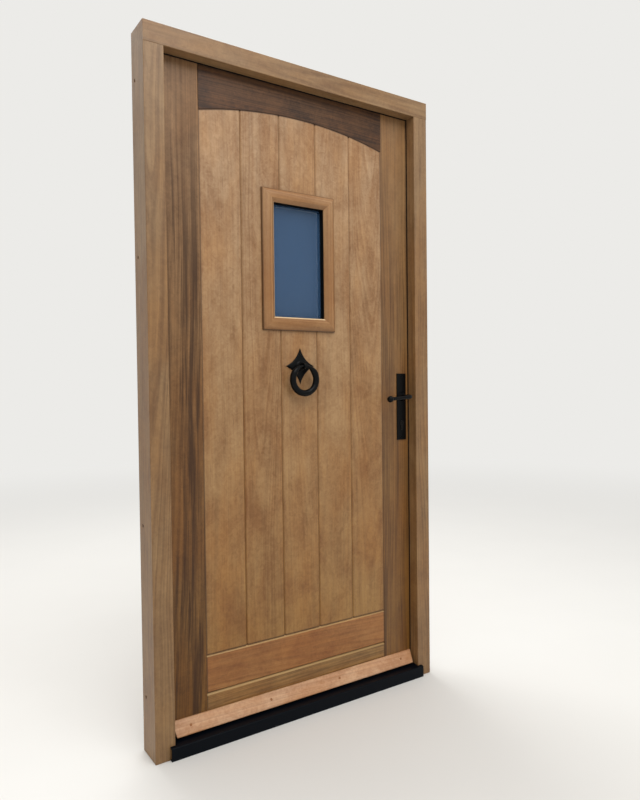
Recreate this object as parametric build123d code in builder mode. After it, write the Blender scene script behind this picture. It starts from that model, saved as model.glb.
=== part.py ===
from build123d import *
import math
import os

# A boarded front door with a small glazed light, hung in its rebated timber frame and opening inwards.
# Seen from outside, x runs to the right, y into the house and z up, in millimetres.
# The origin is on the threshold's underside, at the middle of the frame's width and depth.
os.makedirs("parts", exist_ok=True)

# Leaf
leaf_width = 915
leaf_height = 1925
leaf_thickness = 54
stile_face = 127
top_rail_depth = 142
arch_rise = 41
bottom_rail_depth = 105
lower_board_depth = 113
setback = 2
board_thickness = 14
board_count = 5
board_lap = 12
vee = 4
lit_vee = 5
tongue_reach = 6
tongue_thickness = 4
tenon_reach = 60
tenon_thickness = 16
tenon_shoulder = 14
arris = 2

# Frame
frame_face = 57
stop_lap = 12
stop_depth = 38
side_gap = 3
seal_gap = 3
head_tenon_width = 24
head_tenon_depth = 30
head_tenon_reach = 28
fixing_radius = 5
fixing_low = 400
fixing_high_drop = 377
fixing_spacing = 480
fixing_inset = 25

# Threshold and seals
threshold_height = 41
threshold_ridge = 36
threshold_upstand = 17
threshold_nose = 12
threshold_wall = 3
threshold_round = 4
bottom_gap = 3
seal_band = 8
seal_inset = 3
seal_slot = 3
seal_slot_depth = 4
seal_relief = 0.3

# Weatherboard
weather_top = 84
weather_foot = 46
weather_reach = 26
weather_lip = 4
weather_top_inset = 16.5
weather_splay = 7
weather_round = 3
drip_width = 5
drip_depth = 4
drip_inset = 6
weather_screw_end = 52
weather_screw_inner = 128

# Glazed light
window_drop = 543.5
sight_width = 183
sight_height = 348
moulding_face = 40
moulding_lip = 13
moulding_rise = 15
moulding_inner_edge = 6
moulding_outer_edge = 7
moulding_slope = 11
glass_play = 3
pane_thickness = 4
cavity = 16
spacer_width = 13
gasket_thickness = 2
gasket_show = 1.5

# Handle, lock and keep
backset = 45
lever_rise = 953
cylinder_drop = 92
plate_width = 40
plate_above_lever = 80
plate_below_cylinder = 58
plate_thickness = 4
plate_chamfer = 1.2
plate_screw_inset = 11
hub_foot = 16
hub_top = 11.5
hub_reach = 9
neck_radius = 8
lever_stand = 54
lever_bar_root = 7.7
lever_bar_neck = 7.2
lever_reach = 104
bulb_radius = 11.5
lever_droop = 4
spindle_side = 8
spindle_socket = 25
follower_radius = 12
follower_thickness = 12
case_depth = 64
case_margin = 11
case_thickness = 16
case_wall = 1.5
latch_rise = 23
latch_width = 10
latch_tall = 16
latch_throw = 12
latch_length = 56
latch_bevel = 10
latch_nose = 2
deadbolt_rise = 35
deadbolt_width = 12
deadbolt_tall = 34
deadbolt_throw = 20
deadbolt_length = 50
faceplate_width = 22
faceplate_tail = 33
faceplate_thickness = 3
keep_width = 25
keep_tail = 50
keep_thickness = 2.5
keep_lip_tall = 30
bolt_play = 0.3
pocket_play = 2
cylinder_radius = 8.5
cylinder_lobe = 10
cylinder_depth = 24.5
cylinder_proud = 2
plug_radius = 6.5
cam_radius = 15
cam_thickness = 10.4
cam_round = 2
cam_play = 1
thumb_stem = 9
thumb_length = 16
thumb_width = 26
thumb_grip = 9
thumb_chamfer = 2
key_slot_tall = 9
key_slot_wide = 2
key_slot_depth = 5

# Ring knocker
knocker_drop = 324.5
star_half_height = 56
star_half_width = 52
star_hollow = 9
star_thickness = 4
star_chamfer = 1.2
boss_foot = 16
boss_top = 10
boss_reach = 8
ring_radius = 42.5
ring_thick = 10.5
ring_thin = 4.5
ring_taper_start = 14
ring_taper_end = 62
ring_taper_steps = 2
knocker_stand = 27
eye_radius = 9
eye_thickness = 8
eye_bore = 5
star_screw_drop = 37
plate_screw_margin = 7

# Hinges
hinge_length = 100
hinge_plate_width = 34
hinge_plate_thickness = 3
hinge_knuckles = 3
knuckle_radius = 6.5
pin_radius = 4
hinge_top_drop = 200
hinge_foot_rise = 250
hinge_screw_near = 10
hinge_screw_far = 24
hinge_screw_margin = 14

# Screws
screw_sides = 8
screw_head = 4
screw_shank = 2
screw_head_depth = 2.4
screw_length = 25
weather_screw_length = 45

# Clearances
fit = 0.1
running_fit = 0.05
knuckle_gap = 0.3
slip = 0.3
tenon_fit = 0.2
tenon_end_gap = 1

# Planes and edges that the pieces share
half_leaf = leaf_width / 2
clear_half = half_leaf - stop_lap
frame_half = clear_half + frame_face
rebate_half = half_leaf + side_gap
frame_depth = stop_depth + seal_gap + leaf_thickness
front_y = -frame_depth / 2
back_y = frame_depth / 2
stop_y = front_y + stop_depth
face_y = stop_y + seal_gap
mid_y = face_y + leaf_thickness / 2
floor_z = threshold_height - threshold_upstand
leaf_foot = floor_z + bottom_gap
leaf_top = leaf_foot + leaf_height
clear_top = leaf_top - stop_lap
rebate_top = leaf_top + side_gap
frame_top = clear_top + frame_face
nose_y = front_y - threshold_nose
fixing_high = frame_top - fixing_high_drop
weather_half_top = half_leaf - weather_top_inset
weather_half_foot = weather_half_top - weather_splay
weather_screw_outer = weather_half_top - weather_screw_end

arch_height = leaf_top - top_rail_depth
rail_joint = leaf_foot + bottom_rail_depth
board_foot = rail_joint + lower_board_depth
window_height = leaf_top - window_drop
knocker_height = window_height - knocker_drop
lever_height = leaf_foot + lever_rise

field_half = half_leaf - stile_face
board_pitch = 2 * field_half / board_count
board_y = face_y + setback
core_y = board_y + board_thickness
core_thickness = 2 * (mid_y - core_y)
core_half = field_half - board_lap
arch_radius = (field_half**2 + arch_rise**2) / (2 * arch_rise)
arch_crown = arch_height + arch_rise
arch_centre = arch_crown - arch_radius
inner_arch_radius = arch_radius - board_lap

sight_half_x = sight_width / 2
sight_half_z = sight_height / 2
hole_half_x = sight_half_x + moulding_lip
hole_half_z = sight_half_z + moulding_lip
glass_half_x = hole_half_x - glass_play
glass_half_z = hole_half_z - glass_play
unit_thickness = 2 * pane_thickness + cavity
unit_y = mid_y - unit_thickness / 2
gasket_y = unit_y - gasket_thickness

spindle_x = half_leaf - backset
cylinder_z = lever_height - cylinder_drop
latch_height = lever_height + latch_rise
deadbolt_height = cylinder_z + deadbolt_rise
case_top = latch_height + latch_tall / 2 + case_margin
case_foot = cylinder_z - cylinder_depth - case_margin
faceplate_height = case_top - case_foot + 2 * faceplate_tail
keep_height = latch_height - deadbolt_height + 2 * keep_tail
plate_top = lever_height + plate_above_lever
plate_height = plate_top - cylinder_z + plate_below_cylinder
plate_middle = plate_top - plate_height / 2
plate_front_y = face_y - plate_thickness
plate_back_y = back_y + plate_thickness
case_front = half_leaf - faceplate_thickness
case_back = case_front - case_depth
case_middle = (case_top + case_foot) / 2
keep_middle = (latch_height + deadbolt_height) / 2
star_y = board_y - star_thickness
pivot_y = board_y - knocker_stand

hinge_x = -(half_leaf + rebate_half) / 2
hinge_y = back_y + knuckle_radius + slip
hinge_top = leaf_top - hinge_top_drop
hinge_foot = leaf_foot + hinge_foot_rise
hinge_heights = {"top": hinge_top, "middle": (hinge_top + hinge_foot) / 2, "bottom": hinge_foot}
knuckle_length = hinge_length / hinge_knuckles


def finish(piece, name):
    """Labels a finished piece and writes its STEP file."""
    piece.part.label = name
    export_step(piece.part, f"parts/{name}.step")


def block(low, high):
    """A plain block between two corners, to add to a piece or to cut from one."""
    with BuildPart() as solid:
        with Locations(tuple((a + b) / 2 for a, b in zip(low, high))):
            Box(*[b - a for a, b in zip(low, high)])
    return solid.part


def facade(y):
    """The upright plane at depth y that faces outwards."""
    return Plane.XZ.offset(-y)


def through_plane(x, y, z, facing):
    """A plane on the leaf's depth: its normal runs outwards at facing -1 and inwards at facing 1."""
    return Plane((x, y, z), x_dir=(1, 0, 0), z_dir=(0, facing, 0))


def edge_plane(x, y, z, side):
    """A plane across the door: its normal runs to the hinges at side -1 and to the lock at side 1."""
    return Plane((x, y, z), x_dir=(0, 0, 1), z_dir=(side, 0, 0))


def arc_height(radius, x):
    """Height of the arch of this radius at distance x from the centre line."""
    return arch_centre + math.sqrt(radius**2 - x**2)


def above_arch(radius, half, top, y, thickness):
    """A slab between an arch and a level top, from depth y inwards."""
    end = arc_height(radius, half)
    with BuildPart() as slab:
        with BuildSketch(facade(y + thickness)):
            with BuildLine():
                ThreePointArc((-half, end), (0, arch_centre + radius), (half, end))
                Polyline((half, end), (half, top), (-half, top), (-half, end))
            make_face()
        extrude(amount=thickness)
    return slab.part


def below_arch(radius, half, foot, y, thickness):
    """A slab between a level foot and an arch, from depth y inwards."""
    end = arc_height(radius, half)
    with BuildPart() as slab:
        with BuildSketch(facade(y + thickness)):
            with BuildLine():
                ThreePointArc((-half, end), (0, arch_centre + radius), (half, end))
                Polyline((half, end), (half, foot), (-half, foot), (-half, end))
            make_face()
        extrude(amount=thickness)
    return slab.part


def octagon(plane, radius):
    """The section of a screw or its hole, with few sides because there are many of them."""
    with BuildSketch(plane) as section:
        RegularPolygon(radius, screw_sides, major_radius=False)
    return section.sketch


def screw(plane, length, play=0):
    """A countersunk screw whose head lies flush in a plane and whose shank follows its normal."""
    shoulder = octagon(plane.offset(screw_head_depth), screw_shank + play)
    with BuildPart() as fastener:
        loft([octagon(plane, screw_head + play), shoulder])
        extrude(shoulder, amount=length - screw_head_depth + play)
    return fastener.part


def screws(planes, length, play=0):
    """Several countersunk screws, or the holes for them where there is play."""
    return [screw(plane, length, play) for plane in planes]


def pilots(planes, length):
    """Plain holes for the shanks of several screws, under the pieces that their heads sit in."""
    with BuildPart() as holes:
        for plane in planes:
            extrude(octagon(plane, screw_shank + fit), amount=length + fit)
    return holes.part


def glazing_frame(half_x, half_z, inner_x, inner_z, y, thickness):
    """A flat rectangular frame round the light, from depth y inwards."""
    with BuildPart() as ring:
        with BuildSketch(facade(y + thickness)):
            with Locations((0, window_height)):
                Rectangle(2 * half_x, 2 * half_z)
                Rectangle(2 * inner_x, 2 * inner_z, mode=Mode.SUBTRACT)
        extrude(amount=thickness)
    return ring.part


def euro_profile(radius, lobe, depth):
    """The keyhole outline of a lock cylinder, round its plug."""
    with BuildSketch(Plane.XZ) as outline:
        with Locations((spindle_x, cylinder_z)):
            Circle(radius)
        with Locations((spindle_x, cylinder_z - (depth - lobe / 2) / 2)):
            Rectangle(lobe, depth - lobe / 2)
        with Locations((spindle_x, cylinder_z - depth + lobe / 2)):
            Circle(lobe / 2)
    return outline.sketch


def euro_solid(play, y0, y1):
    """The cylinder's outline run between two depths."""
    outline = euro_profile(cylinder_radius + play, cylinder_lobe + 2 * play, cylinder_depth + play)
    with BuildPart() as solid:
        extrude(outline.moved(Location((0, y0, 0))), amount=y1 - y0, dir=(0, 1, 0))
    return solid.part


# Fixings that pass through more than one piece

hinge_screw_planes = {-1: [], 1: []}
hinge_screw_spread = hinge_length / 2 - hinge_screw_margin
for hinge_z in hinge_heights.values():
    for side in (-1, 1):
        plate_face = hinge_x + side * side_gap / 2
        for end, inset in ((-1, hinge_screw_near), (0, hinge_screw_far), (1, hinge_screw_near)):
            height = hinge_z + end * hinge_screw_spread
            hinge_screw_planes[side].append(edge_plane(plate_face, back_y - inset, height, side))

keep_screw_planes = [
    edge_plane(rebate_half, mid_y, keep_middle + end * (keep_height / 2 - plate_screw_margin), 1)
    for end in (-1, 1)
]
faceplate_screw_planes = [
    edge_plane(half_leaf, mid_y, case_middle + end * (faceplate_height / 2 - plate_screw_margin), -1)
    for end in (-1, 1)
]
handle_screw_heights = (plate_top - plate_screw_inset, plate_top - plate_height + plate_screw_inset)
outer_screw_planes = [through_plane(spindle_x, plate_front_y, z, 1) for z in handle_screw_heights]
inner_screw_planes = [through_plane(spindle_x, plate_back_y, z, -1) for z in handle_screw_heights]
star_screw_planes = [through_plane(0, star_y, knocker_height + end * star_screw_drop, 1) for end in (-1, 1)]

slope_run = weather_reach - weather_lip
slope_fall = weather_top - weather_foot - weather_round
slope_length = math.hypot(slope_run, slope_fall)
weather_screw_planes = [
    Plane(
        (x, face_y - weather_lip - slope_run / 2, weather_top - slope_fall / 2),
        x_dir=(1, 0, 0),
        z_dir=(0, slope_fall / slope_length, -slope_run / slope_length),
    )
    for x in (-weather_screw_outer, -weather_screw_inner, weather_screw_inner, weather_screw_outer)
]

frame_screw_holes = screws(hinge_screw_planes[-1] + keep_screw_planes, screw_length, fit)
frame_pilots = pilots(hinge_screw_planes[-1] + keep_screw_planes, screw_length)
leaf_screw_holes = screws(hinge_screw_planes[1] + faceplate_screw_planes, screw_length, fit)
leaf_pilots = pilots(hinge_screw_planes[1] + faceplate_screw_planes, screw_length)
handle_screw_holes = screws(outer_screw_planes + inner_screw_planes, screw_length, fit)
handle_pilots = pilots(outer_screw_planes + inner_screw_planes, screw_length)
star_screw_holes = screws(star_screw_planes, board_thickness, fit)
star_pilots = pilots(star_screw_planes, board_thickness)
weather_screw_holes = screws(weather_screw_planes, weather_screw_length, fit)
weather_pilots = pilots(weather_screw_planes, weather_screw_length)


# Frame

def seal_loop(inner, outer, foot, y, thickness):
    """An upturned U of flat strip that follows the stop up one jamb, across the head and down the other."""
    with BuildPart() as loop:
        with BuildSketch(facade(y + thickness)):
            with BuildLine():
                Polyline(
                    (-clear_half - outer, foot), (-clear_half - outer, clear_top + outer),
                    (clear_half + outer, clear_top + outer), (clear_half + outer, foot),
                    (clear_half + inner, foot), (clear_half + inner, clear_top + inner),
                    (-clear_half - inner, clear_top + inner), (-clear_half - inner, foot), close=True,
                )
            make_face()
        extrude(amount=thickness)
    return loop.part


seal_foot = floor_z + bottom_gap
seal_groove = seal_loop(seal_inset, seal_inset + seal_slot, 0, stop_y - seal_slot_depth, seal_slot_depth)


def jamb_section(side):
    """Plan of a rebated jamb: side is -1 at the hinges and 1 at the lock."""
    with BuildSketch(Plane.XY) as plan:
        with BuildLine():
            Polyline(
                (side * clear_half, front_y), (side * frame_half, front_y), (side * frame_half, back_y),
                (side * rebate_half, back_y), (side * rebate_half, stop_y), (side * clear_half, stop_y),
                close=True,
            )
        make_face()
        fillet(plan.vertices().group_by(Axis.Y)[0], arris)
    return plan.sketch


def tenon_block(side, play, end_gap):
    """The tenon on a jamb's head, or the mortice for it where there is play."""
    middle = side * (rebate_half + frame_half) / 2
    half_x = head_tenon_width / 2 + play
    half_y = head_tenon_depth / 2 + play
    return block(
        (middle - half_x, mid_y - half_y, rebate_top), (middle + half_x, mid_y + half_y,
                                                        rebate_top + head_tenon_reach + end_gap)
    )


def jamb_blank(side):
    """A jamb with its shoulder, tenon, seal groove and fixing holes."""
    with BuildPart() as jamb:
        extrude(jamb_section(side), amount=rebate_top)
        add(block((-frame_half, front_y, clear_top), (frame_half, stop_y, rebate_top)), mode=Mode.SUBTRACT)
        add(tenon_block(side, 0, 0))
        add(seal_groove, mode=Mode.SUBTRACT)
        for middle in (fixing_low, fixing_high):
            for end in (-1, 1):
                height = middle + end * fixing_spacing / 2
                with Locations(edge_plane(side * frame_half, back_y - fixing_inset, height, side)):
                    Cylinder(fixing_radius, 3 * frame_face, mode=Mode.SUBTRACT)
    return jamb.part


def hinge_recess(side, z):
    """The housing for one hinge plate, in the jamb or in the leaf's edge."""
    near = hinge_x + side * side_gap / 2
    far = near + side * hinge_plate_thickness
    return block((min(near, far), back_y - hinge_plate_width, z - hinge_length / 2),
                 (max(near, far), back_y, z + hinge_length / 2))


with BuildPart() as hinge_jamb:
    add(jamb_blank(-1))
    for hinge_z in hinge_heights.values():
        add(hinge_recess(-1, hinge_z), mode=Mode.SUBTRACT)
    add(frame_pilots, mode=Mode.SUBTRACT)
finish(hinge_jamb, "hinge_jamb")

# Half sizes of the holes that take the two bolts in the keep and the faceplate
latch_half = (latch_width / 2 + bolt_play, latch_tall / 2 + bolt_play)
deadbolt_half = (deadbolt_width / 2 + bolt_play, deadbolt_tall / 2 + bolt_play)
bolt_holes = ((latch_height, latch_half, latch_throw), (deadbolt_height, deadbolt_half, deadbolt_throw))


def bolt_mortices(x0, reach, play):
    """The holes that the latch and the deadbolt pass through, from x0 over their throws and some reach."""
    return [
        block((x0, mid_y - half[0] - play, z - half[1] - play), (x0 + throw + reach, mid_y + half[0] + play,
                                                                 z + half[1] + play))
        for z, half, throw in bolt_holes
    ]


keep_body = block((rebate_half, mid_y - keep_width / 2, keep_middle - keep_height / 2),
                  (rebate_half + keep_thickness, mid_y + keep_width / 2, keep_middle + keep_height / 2))
keep_lip = block((rebate_half, mid_y, latch_height - keep_lip_tall / 2),
                 (rebate_half + keep_thickness, back_y, latch_height + keep_lip_tall / 2))

with BuildPart() as lock_jamb:
    add(jamb_blank(1))
    add(keep_body, mode=Mode.SUBTRACT)
    add(keep_lip, mode=Mode.SUBTRACT)
    add(bolt_mortices(rebate_half, pocket_play, pocket_play), mode=Mode.SUBTRACT)
    add(frame_pilots, mode=Mode.SUBTRACT)
finish(lock_jamb, "lock_jamb")

with BuildPart() as keep_plate:
    add(keep_body)
    add(keep_lip)
    add(bolt_mortices(rebate_half, 0, bolt_play), mode=Mode.SUBTRACT)
    add(frame_screw_holes, mode=Mode.SUBTRACT)
finish(keep_plate, "keep_plate")

with BuildPart() as frame_head:
    with BuildSketch(Plane.YZ.offset(-frame_half)) as head_section:
        with BuildLine():
            Polyline(
                (front_y, clear_top), (front_y, frame_top), (back_y, frame_top),
                (back_y, rebate_top), (stop_y, rebate_top), (stop_y, clear_top), close=True,
            )
        make_face()
        fillet(head_section.vertices().group_by(Axis.X)[0], arris)
    extrude(amount=2 * frame_half)
    for side in (-1, 1):
        add(tenon_block(side, tenon_fit, tenon_end_gap), mode=Mode.SUBTRACT)
    add(seal_groove, mode=Mode.SUBTRACT)
finish(frame_head, "frame_head")

with BuildPart() as threshold:
    with BuildSketch(Plane.YZ.offset(-rebate_half)) as threshold_section:
        with BuildLine():
            Polyline(
                (nose_y, 0), (nose_y, threshold_ridge), (stop_y, threshold_height), (stop_y, floor_z),
                (back_y, floor_z), (back_y, 0), close=True,
            )
        make_face()
        fillet(threshold_section.vertices().group_by(Axis.X)[0].sort_by(Axis.Y)[-1], threshold_round)
        chamber_y = (nose_y + stop_y) / 2
        rise = (threshold_height - threshold_ridge) / 2
        for start, stop, low, high in (
            (nose_y, chamber_y, threshold_ridge, threshold_ridge + rise),
            (chamber_y - threshold_wall, stop_y, threshold_ridge + rise, threshold_height),
            (stop_y - threshold_wall, back_y, floor_z, floor_z),
        ):
            with BuildLine():
                Polyline(
                    (start + threshold_wall, threshold_wall), (start + threshold_wall, low - threshold_wall),
                    (stop - threshold_wall, high - threshold_wall), (stop - threshold_wall, threshold_wall),
                    close=True,
                )
            make_face(mode=Mode.SUBTRACT)
    extrude(amount=2 * rebate_half)
    for side in (-1, 1):
        notch = sorted((side * clear_half, side * frame_half))
        add(block((notch[0], front_y - fit, 0), (notch[1], stop_y, threshold_height)), mode=Mode.SUBTRACT)
finish(threshold, "threshold")

seal_thickness = seal_gap - seal_relief
with BuildPart() as frame_seal:
    band_edge = seal_inset + seal_slot / 2 - seal_band / 2
    add(seal_loop(seal_inset + fit, seal_inset + seal_slot - fit, seal_foot, stop_y - seal_slot_depth + fit,
                  seal_slot_depth))
    add(seal_loop(band_edge, band_edge + seal_band, seal_foot, stop_y, seal_thickness))
finish(frame_seal, "frame_seal")

with BuildPart() as threshold_seal:
    seal_end = clear_half + band_edge
    with BuildSketch(Plane.YZ.offset(-seal_end)) as lip:
        with Locations((stop_y, seal_foot)):
            Rectangle(seal_thickness, seal_band, align=(Align.MIN, Align.MIN))
        chamfer(lip.vertices().group_by(Axis.X)[-1], seal_thickness / 3)
    extrude(amount=2 * seal_end)
finish(threshold_seal, "threshold_seal")


# Hinges

def hinge_half(side, z):
    """One leaf of a butt hinge: side is -1 on the jamb and 1 on the door."""
    foot = z - hinge_length / 2
    near = hinge_x + side * side_gap / 2
    far = near + side * hinge_plate_thickness
    with BuildPart() as half:
        add(hinge_recess(side, z))
        for index in range(hinge_knuckles):
            if (index % 2 == 0) == (side < 0):
                first_gap = 0 if index == 0 else knuckle_gap / 2
                last_gap = 0 if index == hinge_knuckles - 1 else knuckle_gap / 2
                low = foot + index * knuckle_length + first_gap
                high = foot + (index + 1) * knuckle_length - last_gap
                add(block((min(near, far), back_y, low), (max(near, far), hinge_y, high)))
                with Locations((hinge_x, hinge_y, (low + high) / 2)):
                    Cylinder(knuckle_radius, high - low)
        with Locations((hinge_x, hinge_y, z)):
            Cylinder(pin_radius + running_fit, 2 * hinge_length, mode=Mode.SUBTRACT)
        add(frame_screw_holes if side < 0 else leaf_screw_holes, mode=Mode.SUBTRACT)
    return half


for hinge_name, hinge_z in hinge_heights.items():
    for side, owner in ((-1, "frame"), (1, "door")):
        hinge = hinge_half(side, hinge_z)
        finish(hinge, f"{hinge_name}_hinge_{owner}_leaf")

with BuildPart() as hinge_pins:
    for hinge_z in hinge_heights.values():
        with Locations((hinge_x, hinge_y, hinge_z)):
            Cylinder(pin_radius, hinge_length)
finish(hinge_pins, "hinge_pins")

with BuildPart() as frame_screws:
    add(screws(hinge_screw_planes[-1] + keep_screw_planes, screw_length))
finish(frame_screws, "frame_screws")


# Leaf timber

# Foot and top of each tenon, by rail
tenon_spans = {
    "top": (arch_height + tenon_shoulder, leaf_top - 2 * tenon_shoulder),
    "upper": (rail_joint + tenon_shoulder, board_foot - tenon_shoulder),
    "lower": (leaf_foot + 2 * tenon_shoulder, rail_joint - tenon_shoulder),
}


def rail_tenons(span, play, end_gap):
    """The two tenons of a rail, or their mortices where there is play."""
    low, high = tenon_spans[span]
    half = tenon_thickness / 2 + play
    reach = tenon_reach + end_gap
    return [
        block((min(side * field_half, side * (field_half + reach)), mid_y - half, low - play),
              (max(side * field_half, side * (field_half + reach)), mid_y + half, high + play))
        for side in (-1, 1)
    ]


def stile_blank(side):
    """A stile with the web that the boards lap on and the mortices for the rails."""
    web_top = arc_height(inner_arch_radius, field_half)
    with BuildPart() as stile:
        with BuildSketch(Plane.XY.offset(leaf_foot)) as plan:
            with Locations((side * (half_leaf + field_half) / 2, mid_y)):
                Rectangle(stile_face, leaf_thickness)
            chamfer(plan.vertices().sort_by(Axis.X, reverse=side < 0)[:2], setback)
        extrude(amount=leaf_height)
        web = sorted((side * core_half, side * field_half))
        add(block((web[0], core_y, board_foot + board_lap), (web[1], core_y + core_thickness, web_top)))
        for span in tenon_spans:
            add(rail_tenons(span, tenon_fit, tenon_end_gap), mode=Mode.SUBTRACT)
        add(weather_pilots, mode=Mode.SUBTRACT)
    return stile.part


with BuildPart() as hinge_stile:
    add(stile_blank(-1))
    for hinge_z in hinge_heights.values():
        add(hinge_recess(1, hinge_z), mode=Mode.SUBTRACT)
    add(leaf_pilots, mode=Mode.SUBTRACT)
finish(hinge_stile, "hinge_stile")

case_low = (case_back, mid_y - case_thickness / 2, case_foot)
case_high = (case_front, mid_y + case_thickness / 2, case_top)
faceplate_low = (case_front, mid_y - faceplate_width / 2, case_middle - faceplate_height / 2)
faceplate_high = (half_leaf, mid_y + faceplate_width / 2, case_middle + faceplate_height / 2)

with BuildPart() as lock_stile:
    add(stile_blank(1))
    add(block(case_low, case_high), mode=Mode.SUBTRACT)
    add(block(faceplate_low, faceplate_high), mode=Mode.SUBTRACT)
    with Locations(through_plane(spindle_x, mid_y, lever_height, 1)):
        Cylinder(follower_radius, 2 * leaf_thickness, mode=Mode.SUBTRACT)
    add(euro_solid(slip, face_y, back_y), mode=Mode.SUBTRACT)
    add([leaf_pilots, handle_pilots], mode=Mode.SUBTRACT)
finish(lock_stile, "lock_stile")

with BuildPart() as top_rail:
    add(above_arch(arch_radius, field_half, leaf_top, face_y, leaf_thickness))
    chamfer(top_rail.edges().filter_by(GeomType.CIRCLE), setback)
    add(above_arch(inner_arch_radius, field_half, leaf_top - tenon_shoulder, core_y, core_thickness))
    add(rail_tenons("top", 0, 0))
finish(top_rail, "top_rail")

inner_board_y = 2 * mid_y - board_y


def tongue(z, play):
    """The tongue between the two lower rails, or its groove where there is play."""
    half = core_thickness / 4 + play
    return block((-field_half, mid_y - half, z), (field_half, mid_y + half, z + board_lap - tenon_fit + play))


with BuildPart() as lower_board:
    with BuildSketch(Plane.YZ.offset(-field_half)):
        with BuildLine():
            Polyline(
                (board_y + vee, rail_joint), (board_y, rail_joint + vee), (board_y, board_foot - lit_vee),
                (board_y + lit_vee, board_foot), (core_y, board_foot), (core_y, board_foot + board_lap),
                (core_y + core_thickness, board_foot + board_lap), (core_y + core_thickness, board_foot),
                (inner_board_y - lit_vee, board_foot), (inner_board_y, board_foot - lit_vee),
                (inner_board_y, rail_joint + vee), (inner_board_y - vee, rail_joint), close=True,
            )
        make_face()
    extrude(amount=2 * field_half)
    add(rail_tenons("upper", 0, 0))
    add(tongue(rail_joint, tenon_fit), mode=Mode.SUBTRACT)
finish(lower_board, "lower_board")

with BuildPart() as bottom_rail:
    with BuildSketch(Plane.YZ.offset(-field_half)):
        with BuildLine():
            Polyline(
                (board_y, leaf_foot), (board_y, rail_joint - lit_vee), (board_y + lit_vee, rail_joint),
                (inner_board_y - lit_vee, rail_joint), (inner_board_y, rail_joint - lit_vee),
                (inner_board_y, leaf_foot), close=True,
            )
        make_face()
    extrude(amount=2 * field_half)
    add(tongue(rail_joint, 0))
    add(rail_tenons("lower", 0, 0))
    add(weather_pilots, mode=Mode.SUBTRACT)
finish(bottom_rail, "bottom_rail")

window_opening = block((-hole_half_x, face_y, window_height - hole_half_z),
                       (hole_half_x, back_y, window_height + hole_half_z))


def board_outline(index, facing):
    """Plan of one tongued and grooved board: facing is 1 on the outer face and -1 on the inner face."""
    left = -field_half + index * board_pitch
    right = left + board_pitch
    has_groove = index > 0
    has_tongue = index < board_count - 1
    face = mid_y - facing * (mid_y - board_y)
    back = mid_y - facing * (mid_y - core_y)
    half = facing * tongue_thickness / 2
    seat = (face + back) / 2 + facing * vee / 2
    left_vee = vee if has_groove else 0
    right_vee = vee if has_tongue else 0
    points = [(left, face + facing * left_vee), (left + left_vee, face), (right - right_vee, face),
              (right, face + facing * right_vee)]
    if has_tongue:
        tip = right + tongue_reach
        points += [(right, seat - half), (tip, seat - half), (tip, seat + half), (right, seat + half)]
    points += [(right, back), (left, back)]
    if has_groove:
        mouth = half + facing * tenon_fit
        deep = left + tongue_reach + tenon_fit
        points += [(left, seat + mouth), (deep, seat + mouth), (deep, seat - mouth), (left, seat - mouth)]
    return list(dict.fromkeys(points))


def board(index, facing, foot, top):
    """One board between two heights, cut to the arch and round the light."""
    with BuildPart() as plank:
        with BuildSketch(Plane.XY.offset(foot)):
            with BuildLine():
                Polyline(*board_outline(index, facing), close=True)
            make_face()
        extrude(amount=top - foot)
        add(below_arch(arch_radius, field_half, board_foot, face_y, leaf_thickness), mode=Mode.INTERSECT)
        add(window_opening, mode=Mode.SUBTRACT)
        add(star_pilots, mode=Mode.SUBTRACT)
    return plank


middle_board = board_count // 2
for facing, layer in ((1, "outer"), (-1, "inner")):
    for index in range(board_count):
        spans = {"": (board_foot, arch_crown)}
        if index == middle_board:
            spans = {"_lower": (board_foot, window_height), "_upper": (window_height, arch_crown)}
        for suffix, (foot, top) in spans.items():
            plank = board(index, facing, foot, top)
            finish(plank, f"{layer}_board_{index + 1}{suffix}")

with BuildPart() as leaf_core:
    add(below_arch(inner_arch_radius, core_half, board_foot + board_lap, core_y, core_thickness))
    add(window_opening, mode=Mode.SUBTRACT)
finish(leaf_core, "leaf_core")

with BuildPart() as weatherboard:
    with BuildSketch(Plane.YZ.offset(-weather_half_top)):
        front = face_y - weather_reach
        with BuildLine():
            Polyline(
                (face_y, weather_foot), (face_y, weather_top), (face_y - weather_lip, weather_top),
                (front, weather_foot + weather_round), (front, weather_foot), close=True,
            )
        make_face()
        with Locations((front + drip_inset, weather_foot)):
            Rectangle(drip_width, drip_depth, align=(Align.MIN, Align.MIN), mode=Mode.SUBTRACT)
    extrude(amount=2 * weather_half_top)
    with BuildSketch(facade(face_y)):
        with BuildLine():
            Polyline(
                (-weather_half_foot, weather_foot), (weather_half_foot, weather_foot),
                (weather_half_top, weather_top), (-weather_half_top, weather_top), close=True,
            )
        make_face()
    extrude(amount=weather_reach, mode=Mode.INTERSECT)
    add(weather_screw_holes, mode=Mode.SUBTRACT)
finish(weatherboard, "weatherboard")


# Glazed light

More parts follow.
